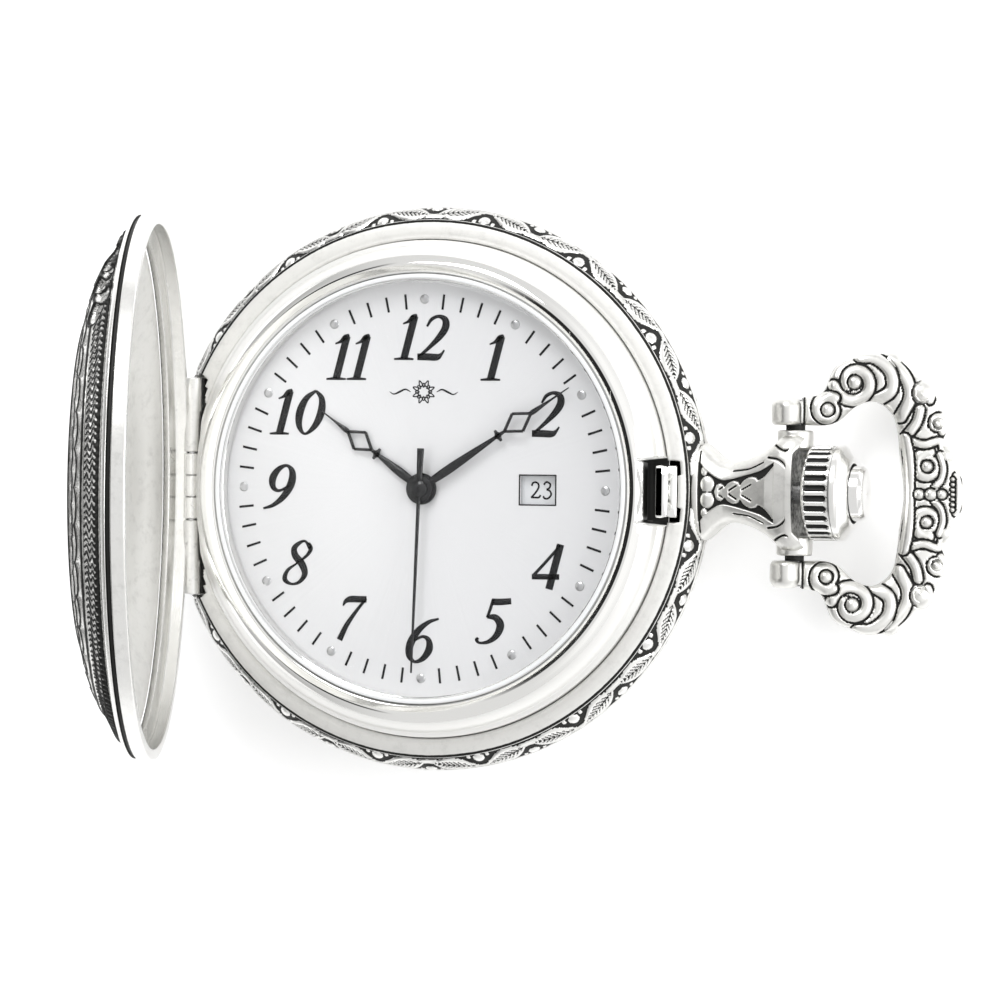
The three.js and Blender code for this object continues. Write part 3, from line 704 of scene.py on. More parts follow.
def crystal():
    """Low-domed glass: an arc of height falling with the square of the radius, turned once round."""
    r = np.linspace(0, 17.42, 40)
    top = np.stack([r, 12.7 - 0.9 * (r / 17.5) ** 2.4], -1)
    under = np.stack([r[::-1], 11.95 - 0.75 * (r[::-1] / 17.5) ** 2.4], -1)
    edge = [[17.5, 11.7], [17.5, 11.3]]
    grid = turn(np.vstack([top, edge, under]), 256)
    return piece("crystal_glass", [surface(grid, wrap=(True, False))], GLASS, "case",
                 ["crystal"])


def crystal_seal():
    """The gasket's ring between the glass and the bezel."""
    outline = rounded([[17.56, 11.16], [17.94, 11.16], [17.94, 11.66], [17.56, 11.66]], 0.12)
    return piece("crystal_seal", [surface(turn(outline, 256))], GASKET, "case",
                 ["crystal_gasket"])


def back_cover():
    """Dished back: plain middle, a ring of petals and a roped ring cut into the form turned once round."""
    steps = 960
    outer = np.vstack([along([[0, 0.0], [12, 0.0], [15.4, 0.602]], 9),
                       along([[15.5, 0.62], [18, 1.2], [20.5, 2.0], [21.9, 2.16], [22.3, 2.3]], 84)])
    inner = [[22.3, 2.82], [22.2, 2.9], [19.3, 2.9], [19.3, 3.5], [18.6, 3.5], [18.6, 2.6], [16, 1.9],
             [12, 0.8], [0, 0.8]]
    profile = np.vstack([outer, inner])
    angle = np.arange(steps)[:, None] / steps * TAU
    r = outer[:, 0][None, :]
    rope_at = np.abs(r - 20.1)
    rope = (0.5 + 0.5 * np.cos(angle * 150 + (r - 20.1) * 5)) * smooth((0.45 - rope_at) / 0.1)
    groove = smooth((0.12 - np.abs(rope_at - 0.6)) / 0.08)
    petals = 48
    turned_to = (angle * petals / TAU) % 1 - 0.5
    reach = 17.4 + 1.6 * np.sqrt(np.clip(1 - (2 * turned_to) ** 2, 0, 1))
    scale_edge = smooth((0.14 - np.abs(r - reach)) / 0.08) * (r > 16.2)
    ray = smooth((0.035 - np.abs(np.abs(turned_to) - 0.5)) / 0.02) * smooth((r - 16.2) / 0.2) * (r < 17.8)
    inner_ring = smooth((0.13 - np.abs(r - 16.1)) / 0.08)
    cuts = highest(groove, scale_edge, ray, inner_ring, smooth((0.45 - rope_at) / 0.1) * (1 - rope))
    push = np.zeros((steps, len(profile)))
    recess = np.zeros_like(push)
    push[:, :len(outer)] = -0.12 * cuts
    recess[:, :len(outer)] = cuts
    satin = np.zeros_like(push)
    satin[:, :len(outer)] = (r < 15.9) * 1.0
    grid = turn(profile, steps, push)
    return piece("back_cover_turned", [surface(grid, wrap=(True, False))], CASE_METAL, "case",
                 ["back_cover"], metal_marks(recess, satin))


# ---- lid ----
LID_RIM_Z = LID_AXIS[2] + 0.45


def lid_profile(points):
    points = np.array(points, float)
    points[:, 1] += LID_RIM_Z
    return points


def lid_rim():
    """The rim's section turned once round: an upright wall, a black groove and a rounded bead."""
    corners = [[21.26, 0.0], [22.16, 0.0], [22.16, 1.15], [21.75, 1.2], [21.75, 1.5], [22.1, 1.55],
               [21.9, 1.85], [21.25, 2.05], [20.85, 2.05], [20.5, 1.5], [21.26, 1.0]]
    outline = rounded(lid_profile(corners), 0.07, 4)
    outline = along(np.vstack([outline, outline[:1]]), 90)[:-1]
    t = outline[:, 1] - LID_RIM_Z
    groove = ((outline[:, 0] > 21.6) & (outline[:, 0] < 22.0) & (t > 1.14) & (t < 1.58)) * 1.0
    joint = ((outline[:, 0] > 20.95) & (outline[:, 0] < 21.4) & (t > 1.95)) * 0.8
    grid = turn(outline, 720)
    recess = np.broadcast_to(np.maximum(groove, joint), grid.shape[:2])
    parts = [surface(lid_open(grid)), knuckle(-2.78, -0.95), knuckle(-0.9, 0.9), knuckle(0.95, 2.78)]
    barrels = np.full(sum(len(points) for points, _ in parts[1:]), 0.3)
    return piece("lid_rim_turned", parts, LID_METAL, "lid", ["lid_rim"],
                 metal_marks(np.r_[recess.ravel(), barrels]))


# leaves across the rope: middle in degrees and millimetres, half width in degrees, half length
LID_SPRAY = [(47, 19.3, 4.6, 1.5), (54, 19.8, 4.4, 1.5), (60, 19.0, 4.2, 1.6),
             (65, 19.9, 4.2, 1.4), (71, 19.1, 4.2, 1.5), (78, 19.7, 4.0, 1.3)]


def lid_cover():
    """Domed cover: outside a roped ring with a spray of leaves across it, then two rows of petals,
    then a smooth dome; inside a satin dish with two steps.

    A petal row of radius R ends at R + h*sqrt(1 - (1.9 f)^2) - 0.35, f the place within one petal
    from -1/2 to 1/2. The rope's strokes are cosines round the ring, bent by sines of the radius.
    """
    steps = 960
    outer = np.vstack([along([[0, 6.0], [6, 5.9], [12, 5.6], [13.6, 5.307]], 9),
                       along([[13.7, 5.288], [15, 5.05], [17, 4.4], [18.4, 3.7], [19, 3.2], [20.0, 2.68],
                              [20.75, 2.3]], 71)])
    inner = along([[20.55, 2.05], [20.2, 1.95], [18.9, 2.7], [18.1, 3.25], [17.6, 3.5], [17.4, 3.72],
                   [16.8, 3.95], [12, 5.1], [6, 5.42], [0, 5.5]], 24)
    profile = lid_profile(np.vstack([outer, inner]))
    angle = np.arange(steps)[:, None] / steps * TAU
    r = outer[:, 0][None, :]
    in_rope = smooth((1.05 - np.abs(r - 19.75)) / 0.08)
    strokes = 0.5 + 0.5 * np.cos(angle * 216 + 2.4 * np.sin(r * 5.5) + 0.8 * np.sin(angle * 57))
    rope = in_rope * np.clip(strokes * 2.2 - 0.55, 0, 1)
    gutter = smooth((0.16 - np.abs(r - 18.45)) / 0.1)
    cuts = np.maximum(in_rope * (1 - rope), gutter)
    lift = np.zeros_like(cuts)
    for row, (radius, petals, tall) in enumerate([(17.0, 36, 0.75), (15.6, 36, 0.8)]):
        f = (angle * petals / TAU + 0.5 * (row % 2)) % 1 - 0.5
        reach = radius + tall * np.sqrt(np.clip(1 - (1.9 * f) ** 2, 0, 1)) - 0.35
        cuts = np.maximum(cuts, smooth((0.2 - np.abs(r - reach - 0.12)) / 0.12))
        barbs = smooth((0.16 - np.abs(f)) / 0.1) * (0.5 + 0.5 * np.cos(TAU * (r + 6 * np.abs(f)) / 0.36))
        within = (r < reach) & (r > radius - 1.5)
        cuts = np.maximum(cuts, 0.55 * barbs * within)
        lift = np.where(within, np.maximum(lift, 0.5 * dome(f, 0.55)), lift)
    cuts = np.maximum(cuts, smooth((0.12 - np.abs(r - 14.0)) / 0.08))
    cuts = np.where(r < 13.8, 0, cuts)
    for centre, where_r, wide, tall in LID_SPRAY:
        off = np.hypot((np.degrees(angle) - centre) / wide, (r - where_r) / tall)
        cuts = np.where(off < 1.12, smooth((off - 0.94) / 0.08), cuts)
        vein = smooth((0.08 - np.abs((np.degrees(angle) - centre) / wide + 0.3 * (r - where_r))) / 0.06)
        cuts = np.where(off < 0.7, np.maximum(cuts, vein * 0.8), cuts)
        lift = np.where(off < 1.0, 1.2 + 2.2 * dome(off, 1.0), lift)
    push = np.zeros((steps, len(profile)))
    recess = np.zeros_like(push)
    push[:, :len(outer)] = 0.16 * lift * (r > 14) - 0.2 * cuts - 0.1 * (r > 14)
    recess[:, :len(outer)] = cuts
    recess[:, len(outer) - 2:len(outer)] = 0.9
    grid = turn(profile, steps, push)
    satin = np.zeros_like(push)
    satin[:, len(outer):] = 1
    return piece("lid_cover_chased", [surface(lid_open(grid), wrap=(True, False))], LID_METAL, "lid",
                 ["lid_cover"], metal_marks(recess, satin))


def latch():
    """The catch: an upright leaf, the foot that shows beside it and the nose that holds the lid."""
    parts = [block((20.1, -2.15, 4.7), (20.65, 2.15, 9.9), 0.08),
             block((20.15, -2.15, 8.1), (21.55, 2.15, 8.62), 0.1),
             block((20.1, -2.1, 9.35), (21.05, 2.1, 9.9), 0.12)]
    return piece("catch_filed", parts, MIRROR_METAL, "latch", ["latch"])


def hinge_pin():
    """A plain rod through all the knuckles."""
    outline = rounded([[0.02, -9.25], [0.33, -9.25], [0.33, 9.25], [0.02, 9.25]], 0.1)
    grid = about_y(turn(outline, 24), [LID_AXIS[0], 0, LID_AXIS[2]])
    return piece("hinge_pin_turned", [surface(grid)], STEEL, "case", ["hinge_pin"])


# ---- dial printing: pen strokes (x, y, width) in hundredths of a figure's height ----
FIGURES = {
    "0": [[(30, 98, 5), (13, 80, 12), (7, 50, 16), (13, 20, 12), (30, 2, 5), (47, 20, 12),
           (53, 50, 16), (47, 80, 12), (30, 98, 5)]],
    "1": [[(27, 3, 15), (27, 50, 15), (27, 97, 15)],
          [(6, 80, 3), (16, 85, 6), (24, 94, 11), (31, 100, 5)],
          [(6, 1.8, 3.6), (27, 3, 6), (48, 1.8, 3.6)]],
    "2": [[(6, 74, 4), (12, 90, 7), (26, 96.5, 7), (41, 89, 13), (46, 73, 15), (40, 54, 13),
           (24, 30, 8), (4, 6, 5)],
          [(2, 7, 13), (24, 7, 14), (44, 6.5, 13), (52, 13, 6), (56, 22, 3)]],
    "3": [[(8, 82, 5), (24, 98, 6), (44, 86, 12), (40, 64, 8), (24, 54, 4)],
          [(24, 54, 4), (42, 46, 10), (50, 25, 14), (34, 3, 8), (14, 2, 5), (5, 15, 6)]],
    "4": [[(43, 97, 5), (24, 64, 6), (4, 32, 6)],
          [(0, 27.5, 11), (28, 27.5, 11), (58, 27.5, 11)],
          [(43, 99, 15), (43, 50, 15), (43, 0, 15)]],
    "5": [[(14, 93, 13), (32, 93, 13), (54, 95, 12)],
          [(15, 98, 6), (14, 76, 6), (12, 58, 5)],
          [(12, 60, 7), (30, 58, 13), (44, 42, 16), (42, 20, 13), (28, 5, 8), (10, 2, 5), (2, 8, 7),
           (4, 13, 5)]],
    "6": [[(54, 98, 4), (34, 90, 8), (16, 70, 13), (7, 42, 16), (11, 16, 13), (26, 2, 6),
           (42, 10, 11), (50, 30, 15), (44, 50, 11), (30, 58, 6), (15, 50, 5), (8, 40, 4)]],
    "7": [[(7, 78, 3), (10, 88, 8), (20, 93, 13), (38, 93, 13), (54, 93, 13)],
          [(53, 95, 5), (38, 66, 7), (25, 34, 10), (18, 2, 12)]],
    "8": [[(47, 82, 9), (30, 98, 5), (13, 84, 11), (18, 66, 14), (38, 46, 15), (49, 25, 12),
           (42, 7, 7), (26, 2, 5), (9, 12, 10), (10, 32, 7), (26, 48, 4), (42, 64, 6), (48, 76, 8),
           (47, 84, 9), (40, 94, 6)]],
}
FIGURES["9"] = [[(58 - x, 100 - y, width) for x, y, width in FIGURES["6"][0]]]     # a 6 turned over
HOUR_FIGURES = {hour: str(hour) for hour in (1, 2, 4, 5, 6, 7, 8, 9, 10, 11, 12)}


def figures(text, height, centre, low, high, lean=0.24, even=None, turn_by=0.0, gap=0.62):
    """The strokes of a number, set side by side round its centre, one flat band each.

    An even pen has one width all along, as a share of the height, and draws the 1 without its foot.
    """
    widths = [0.44 if digit == "1" and even is None else gap for digit in text]
    left = -sum(widths) / 2
    out = []
    c, s = math.cos(turn_by), math.sin(turn_by)
    for digit, width in zip(text, widths):
        for stroke in FIGURES[digit] if even is None or digit != "1" else FIGURES[digit][:2]:
            knots = np.array(stroke, float) / 100
            x = 1.08 * (knots[:, 0] + left + (width - 0.56) / 2 + lean * (knots[:, 1] - 0.5)) * height
            y = (knots[:, 1] - 0.5) * height
            pen = knots[:, 2] * 1.12 * height if even is None else np.full(len(knots), even * height)
            knots = np.stack([centre[0] + x * c - y * s, centre[1] + x * s + y * c, pen], -1)
            out.append(ribbon(knots, low, high, 14 * len(knots)))
        left += width
    return out


def at_hour(angle, radius):
    """A place on the dial, the angle in degrees clockwise from twelve."""
    a = math.radians(angle)
    return radius * math.sin(a), radius * math.cos(a)


def bar(angle, r0, r1, width, low, high):
    """A radial bar on the dial."""
    x0, y0 = at_hour(angle, r0)
    x1, y1 = at_hour(angle, r1)
    return ribbon([(x0, y0, width), (x1, y1, width)], low, high, 3)


BARS = (15.05, 16.32, 0.19)    # inner end, outer end and width of the minute bars
FIGURE_HEIGHT, FIGURE_R = 3.78, 12.65
DOT_R = 15.85
ROSETTE_Y = 8.1
DATE_NOW, DAYS, DATE_R, DATE_HEIGHT = 23, 31, 10.15, 1.42


def dial_printing():
    """Minute bars, leaning figures, the date frame and a small rosette of eight loops, in thick ink."""
    low, high = DIAL_TOP - 0.005, DIAL_TOP + 0.025
    parts = [bar(6 * k, *BARS, low, high) for k in range(60) if k % 5]
    for hour, text in HOUR_FIGURES.items():
        parts += figures(text, FIGURE_HEIGHT, at_hour(30 * hour, FIGURE_R), low, high)
    for (x0, y0), (x1, y1) in (((8.42, 1.24), (11.6, 1.24)), ((11.58, 1.28), (11.58, -1.28)),
                               ((11.6, -1.24), (8.42, -1.24)), ((8.44, -1.28), (8.44, 1.28))):
        parts.append(ribbon([(x0, y0, 0.11), (x1, y1, 0.11)], low, high, 3))
    a = np.linspace(0, TAU, 97)
    for turned_by, swing, size in ((0, 0.62, 1.0), (TAU / 16, 0.35, 0.72)):
        r = size * (1 - swing * (0.5 + 0.5 * np.cos(8 * a + turned_by * 8)))
        loop = np.stack([r * np.cos(a), ROSETTE_Y + r * np.sin(a), np.full(97, 0.09)], -1)
        parts.append(ribbon(loop[::3], low, high, 160))
    for side in (-1, 1):
        stem = [(side * across, ROSETTE_Y + rise, pen) for across, rise, pen in
                ((1.15, 0, 0.05), (1.6, 0.2, 0.13), (2.1, 0, 0.16), (2.6, -0.2, 0.1), (3.0, 0, 0.04))]
        parts.append(ribbon(stem, low, high, 30))
    return piece("dial_printing", parts, INK, "case")


def dial_dots():
    """Twelve low silver buttons at the hours."""
    parts = [ball((*at_hour(30 * k, DOT_R), DIAL_TOP), 0.4, 0.3, 22) for k in range(12)]
    return piece("dial_dots", parts, SILVER_DOT, "case")


def date_figures():
    """The days round the date ring, each upright when it comes to the window."""
    top = box_mm("date_ring")[1][2]
    parts = []
    for day in range(1, DAYS + 1):
        angle = (DATE_NOW - day) * TAU / DAYS
        centre = (DATE_R * math.cos(angle), DATE_R * math.sin(angle))
        parts += figures(str(day), DATE_HEIGHT, centre, top - 0.005, top + 0.012, 0.0, 0.11, angle, 0.66)
    return piece("date_figures", parts, INK, "date_ring")


def in_hand(points, clockwise):
    """Hand drawn pointing along +Y, turned clockwise by its angle in degrees."""
    a = -math.radians(clockwise)
    points = np.array(points, float)
    x, y = points[:, 0].copy(), points[:, 1].copy()
    points[:, 0], points[:, 1] = x * math.cos(a) - y * math.sin(a), x * math.sin(a) + y * math.cos(a)
    return points


def diamond_hand(name, clockwise, node, body, blade, cross, near, far, tip, hub):
    """A leaf-shaped shank, a small cross, an open diamond and a swelling tip, all flat bands."""
    low, high = box_mm(node)[0][2], box_mm(node)[1][2]
    middle = (near + far) / 2
    rows = [
        [(0, 0.3, 0.3), (0, blade * 0.45, 0.62), (0, blade, 0.74), (0, (blade + cross) / 2, 0.55),
         (0, cross, 0.26)],
        [(-0.52, cross, 0.2), (-0.3, cross, 0.3), (0, cross, 0.62), (0.3, cross, 0.3), (0.52, cross, 0.2)],
        [(0, cross - 0.3, 0.3), (0, cross + 0.3, 0.3), (0, near + 0.05, 0.2)],
        [(0, far - 0.1, 0.34), (0, far + 0.35, 0.42), (0, far + (tip - far) * 0.45, 0.2), (0, tip, 0.07)],
    ]
    parts = [ribbon(in_hand(row, clockwise), low, high, 30) for row in rows]
    for side in (-1, 1):
        for ends in (((0, near), (side * 0.86, middle)), ((side * 0.86, middle), (0, far))):
            (x0, y0), (x1, y1) = ends
            line = [(x0, y0, 0.24), ((x0 + x1) / 2, (y0 + y1) / 2, 0.24), (x1, y1, 0.24)]
            parts.append(ribbon(in_hand(line, clockwise), low, high, 8))
    outline = rounded([[0.03, low], [hub, low], [hub, high + 0.08], [0.03, high + 0.08]], 0.06)
    parts.append(surface(turn(outline, 48)))
    return piece(name, parts, HAND_BLACK, body, [node])


def second_hand():
    """A tapering needle with a broad tail, under a small domed hub."""
    low, high = box_mm("second_hand")[0][2], box_mm("second_hand")[1][2]
    line = [(0, -3.38, 0.58), (0, -2.0, 0.52), (0, -0.6, 0.42), (0, 1, 0.3), (0, 8, 0.24), (0, 15.38, 0.14)]
    parts = [ribbon(in_hand(line, 182), low, high, 40)]
    outline = rounded([[0.02, low - 0.02], [0.72, low - 0.02], [0.72, high + 0.04], [0.3, high + 0.22],
                       [0.02, high + 0.24]], 0.08)
    parts.append(surface(turn(outline, 40)))
    return piece("second_hand_fine", parts, HAND_BLACK, "seconds", ["second_hand"])


# ---- crown and button ----
FLUTES = 28
CROWN_R = 3.92


def crown():
    """Turned form about X; its flutes are troughs half round in section, sqrt(1 - (d/w)^2) deep where
    d is the distance from the flute's line and w its half width, between two shoulders."""
    steps = FLUTES * 20
    corners = [[1.02, 31.4], [2.6, 31.4], [3.62, 31.72], [CROWN_R, 32.05], [CROWN_R, 34.25], [3.95, 34.3],
               [3.95, 34.78], [3.8, 34.95], [2.9, 35.6], [2.45, 35.68], [2.42, 35.4], [2.42, 32.92],
               [1.02, 32.92]]
    outline = rounded(corners, 0.1, 4)
    outline = along(np.vstack([outline, outline[:1]]), 130)[:-1]
    outline[:, 1] = 31.9 + (outline[:, 1] - 31.4) * 0.94
    angle = np.arange(steps)[:, None] / steps * TAU
    x = 31.4 + (outline[:, 1][None, :] - 31.9) / 0.94
    outside = (outline[:, 0] > 3.3)[None, :]
    phase = ((angle * FLUTES / TAU) % 1 - 0.5) * TAU * CROWN_R / FLUTES
    lengthways = np.clip(np.maximum(31.95 - x, x - 34.0) + 0.2, 0, None)
    off = np.hypot(phase, lengthways * 1.1)
    trough = dome(off, 0.27) * outside
    recess = smooth(trough / 0.45)
    recess = np.where(((x[0] > 34.24) & (x[0] < 34.32) & (outline[:, 0] > 3.8))[None, :], 0.7, recess)
    # painted shade: the bore round the button is painted dark, as shade in the gap
    recess = np.where(((outline[:, 0] < 2.5) & (outline[:, 1] > 33))[None, :], 0.8, recess)
    grid = about_x(turn(outline, steps, -0.3 * trough))
    return piece("crown_fluted", [surface(grid)], CROWN_METAL, "crown", ["crown"],
                 metal_marks(recess))


def push_button():
    """Stepped plug with a flat end, its thin rod, and the cross pin that draws the catch."""
    head = rounded([[0.02, 34.3], [2.35, 34.3], [2.3, 34.8], [2.28, 36.65], [2.0, 36.97], [1.7, 36.99],
                    [0.02, 36.96]], 0.08, 4)
    rod = rounded([[0.02, 20.6], [0.35, 20.6], [0.35, 34.5], [0.02, 34.5]], 0.05)
    pin = rounded([[0.02, -1.3], [0.2, -1.3], [0.2, 1.3], [0.02, 1.3]], 0.05)
    parts = [surface(about_x(turn(head, 96))), surface(about_x(turn(rod, 20)))]
    parts.append(surface(turn(pin, 16) + np.array([20.9, 0, CROWN_Z])))
    return piece("push_button_turned", parts, BUTTON_METAL, "push_button",
                 ["push_button"])


# ---- pendant: half widths along X of the neck, its sunk field and the chain in it, then the cuts ----
NECK = [[22.7, 4.3], [23.6, 3.9], [25.3, 2.6], [27, 2.75], [28.8, 3.6], [30.2, 4.8], [31.2, 4.95],
        [32, 4.6]]
FIELD = [[23.3, 2.5], [24.0, 1.75], [25.0, 1.14], [25.8, 1.12], [27.3, 1.5], [28.5, 1.85], [29.3, 2.3],
         [29.75, 2.6]]
CHAIN = [[24.6, 0.0], [24.78, 0.6], [25.15, 0.76], [25.5, 0.5], [25.75, 0.76], [26.2, 0.98], [26.65, 0.9],
         [26.87, 0.66], [27.15, 1.02], [27.7, 1.32], [28.2, 1.28], [28.45, 1.1], [29.0, 1.4], [29.75, 2.3]]
PENDANT_CUTS = [([[29.7, 3.9], [30.5, 3.5], [31.1, 3.55]], 0.07),
                ([[29.2, 2.9], [30.1, 2.75], [30.9, 2.2]], 0.07),
                ([[26.2, 1.75], [27.6, 1.95], [28.8, 2.5]], 0.04),
                ([[25.0, 0.22], [25.3, 0.42]], 0.05),
                ([[25.9, 0.18], [26.5, 0.55]], 0.06),
                ([[27.0, 0.22], [27.8, 0.66]], 0.05)]


def pendant_relief(x, y):
    """Chased face of the neck: broad smooth cheeks round a sunk field, whose half width runs down FIELD.

    In the field stand two round lobes and a chain of three scalloped leaves whose half width runs down
    CHAIN and which widens into the smooth plate under the cup; short slits are cut into each leaf.
    """
    side = np.abs(y)
    field = smooth((np.interp(x, *spline(FIELD, 60).T) - side) / 0.14) * (x < 29.75)
    chain = np.interp(x, *spline(CHAIN, 120).T) * (x > 24.6)
    ground = smooth((chain - side) / 0.1) * (0.85 + 0.15 * dome(side, np.maximum(chain, 0.1)))
    for lobe_x, lobe_y, rx, ry in ((23.98, 0.66, 0.62, 0.7), (23.7, 1.75, 0.3, 0.42)):
        ground = np.maximum(ground, dome(np.hypot((x - lobe_x) / rx, (side - lobe_y) / ry), 1.0))
    cuts = np.zeros_like(x)
    for line, width in PENDANT_CUTS:
        cuts = np.maximum(cuts, smooth((width + 0.05 - to_line(x, side, spline(line, 12))) / 0.06))
    cuts = np.maximum(cuts, smooth((0.09 - np.abs(x - 23.3)) / 0.06) * (side < 3.4))
    height = 1 - field * (1 - 0.9 * ground)
    # second value: oxide in the slits, and over the sunk field round the chain and lobes a darkening that
    # is partly oxide in the hollow and partly painted shade
    return height * (1 - cuts), np.maximum(field * smooth((0.5 - ground) / 0.3), cuts)


def pendant():
    """Stations along X; each ring is a squashed oval whose half width follows the neck and whose
    half depth swells to the cup, with the chasing lowered into its front and back faces."""
    stations, round_count = 300, 260
    neck = along(spline(NECK, 240), 240)
    cup_lip = 31.25
    x = np.linspace(22.72, 32.0, stations)
    half = np.interp(x, neck[:, 0], neck[:, 1])
    depth = np.interp(x, [22.7, 23.6, 25.3, 27, 29, 31, 32], [2.4, 2.5, 2.5, 2.75, 3.05, 3.1, 3.1])
    phi = np.arange(round_count) / round_count * TAU
    yy = half[:, None] * np.sign(np.cos(phi)) * np.abs(np.cos(phi)) ** 0.8
    zz = depth[:, None] * np.sign(np.sin(phi)) * np.abs(np.sin(phi)) ** 0.62
    xx = np.broadcast_to(x[:, None], yy.shape)
    height, blackening = pendant_relief(xx, yy)
    facing = smooth((np.abs(zz) / depth[:, None] - 0.45) / 0.25)
    zz = zz - np.sign(zz) * (1 - height) * 0.28 * facing
    recess = blackening * facing
    lip = cup_lip + 0.75 * smooth((np.abs(yy) - 3.2) / 1.2)
    xx = np.where(xx > 30.6, 30.6 + (xx - 30.6) * (lip - 30.6) / (32.0 - 30.6), xx)
    body = np.stack([xx, yy, zz + CROWN_Z], -1)
    rings = [body]
    end_y, end_z = yy[-1], zz[-1]
    for shrink, px in ((0.93, 31.3), (0.86, 31.05), (0.72, 30.9), (0.35, 30.88), (0.001, 30.88)):
        ring_x = np.minimum(xx[-1], px + 0.4 * (shrink > 0.9))
        rings.append(np.stack([ring_x, end_y * shrink, end_z * shrink + CROWN_Z], -1)[None])
    first = body[:1].copy()
    first[..., 1] *= 0.001
    first[..., 2] = CROWN_Z + (first[..., 2] - CROWN_Z) * 0.001
    grid = np.concatenate([first, *rings])
    # painted shade: the five rings of the cup behind the crown are greyed, as shade in the cup
    marks = np.concatenate([np.zeros((1, round_count)), recess, np.full((5, round_count), 0.55)])
    parts = [surface(grid, wrap=(False, True))]
    marks = [marks.ravel()]
    for side in (-1, 1):
        ends = sorted((side * 3.6, side * 5.18))
        outline = rounded([[0.02, ends[0]], [1.5, ends[0]], [1.5, ends[1]], [0.02, ends[1]]], 0.22, 5)
        parts.append(surface(about_y(turn(outline, 48), BOW_AXIS)))
        marks.append(np.zeros(len(parts[-1][0])))
    collar = rounded([[4.45, 22.72], [4.45, 23.2], [0.02, 23.2], [0.02, 22.72]], 0.1)
    collar = about_x(turn(collar, 64))
    collar[..., 2] = CROWN_Z + (collar[..., 2] - CROWN_Z) * 0.60
    parts.append(surface(collar))
    marks.append(np.zeros(len(parts[-1][0])))
    return piece("pendant_chased", parts, CHASED_METAL, "case", ["pendant"],
                 metal_marks(np.concatenate(marks)))


# ---- bow ----
BOW_OUTER = [[-1.95, 6.2], [-1.75, 7.3], [-0.6, 7.95], [1.2, 8.0], [2.3, 8.5], [3.2, 10.4],
             [4.7, 11.2], [6.1, 11.7],
             [8.2, 11.3], [9.8, 10.0], [11.3, 8.6], [12.1, 6.9], [12.6, 5.6], [12.2, 4.3], [12.6, 3.0],
             [13.3, 1.9], [13.85, 1.3], [13.88, 0.0]]
BOW_INNER = [[-1.2, 5.62], [0.4, 5.62], [2.4, 5.6], [3.6, 6.0], [5.0, 7.2], [6.6, 7.6], [8.0, 6.6],
             [8.5, 5.0],
             [8.7, 3.0], [9.0, 0.9], [9.05, 0.0]]
BOW_LINES = [
    (spline([[8.6, 6.4], [9.35, 8.0], [9.0, 9.6], [7.9, 10.9]], 24), 0.5),
    (spline([[6.6, 7.7], [7.8, 8.6], [7.7, 10.1], [6.5, 11.2], [5.2, 11.35]], 30), 0.5),
    (arc(4.75, 9.2, 1.75, 190, 560, 60, 0.62), 0.46), (arc(2.55, 6.9, 1.15, 60, 400, 44, 0.5), 0.42),
    (spline([[8.95, 4.6], [9.9, 5.9], [10.2, 7.0]], 16), 0.4),
    (arc(10.4, 8.3, 0.8, -40, 300, 24, 0.3), 0.34), (arc(11.7, 5.85, 0.75, -60, 280, 20, 0.3), 0.32),
    (arc(10.85, 2.3, 1.2, 80, 440, 40, 0.5), 0.42),
    (spline([[9.4, 4.4], [10.6, 4.1], [11.9, 4.4], [12.2, 3.4]], 20), 0.32),
    (spline([[11.9, 3.3], [12.2, 2.2], [12.0, 1.2], [11.5, 0.6]], 16), 0.26),
    (spline([[9.3, 0.0], [9.35, 2.0], [9.2, 3.6], [8.95, 4.6]], 24), 0.44),
    (spline([[13.55, 0.0], [13.5, 0.8], [13.3, 1.5]], 10), 0.3),
]
BOW_BALLS = [(2.55, 6.9, 0.55), (4.75, 9.2, 0.58), (10.4, 8.3, 0.4), (11.7, 5.85, 0.36), (10.85, 2.3, 0.5),
             (10.2, 0.0, 0.45), (11.15, 0.0, 0.5),
             (12.1, 0.0, 0.42)] + [(13.0, 0.42 * k, 0.2) for k in range(4)]


BOW_LOBES = [(10.4, 8.35, 1.25, 0.95), (11.75, 5.95, 1.05, 0.9), (12.35, 3.2, 0.8, 0.85),
             (7.9, 10.75, 1.0, 0.8),
             (12.7, 1.25, 0.75, 0.9), (13.3, 0.0, 0.62, 1.0)]


def bow_relief(u, v):
    """Scrolls and eyes drawn one over another on a smooth plateau: a half-round ridge sqrt(1 - (d/w)^2)
    where the distance d is under the width w, and a cut line just outside it."""
    v = np.abs(v)
    height = np.full(np.shape(u), 0.72)
    for line, width in BOW_LINES:
        off = to_line(u, v, line)
        ridge = np.where(off < width, 0.35 + 0.65 * dome(off, width), 0.0)
        height = np.where(off < width + 0.17, ridge, height)
    for bu, bv, radius in BOW_BALLS:
        off = np.hypot(u - bu, v - bv)
        height = np.where(off < radius + 0.13, 1.1 * dome(off, radius), height)
    return height


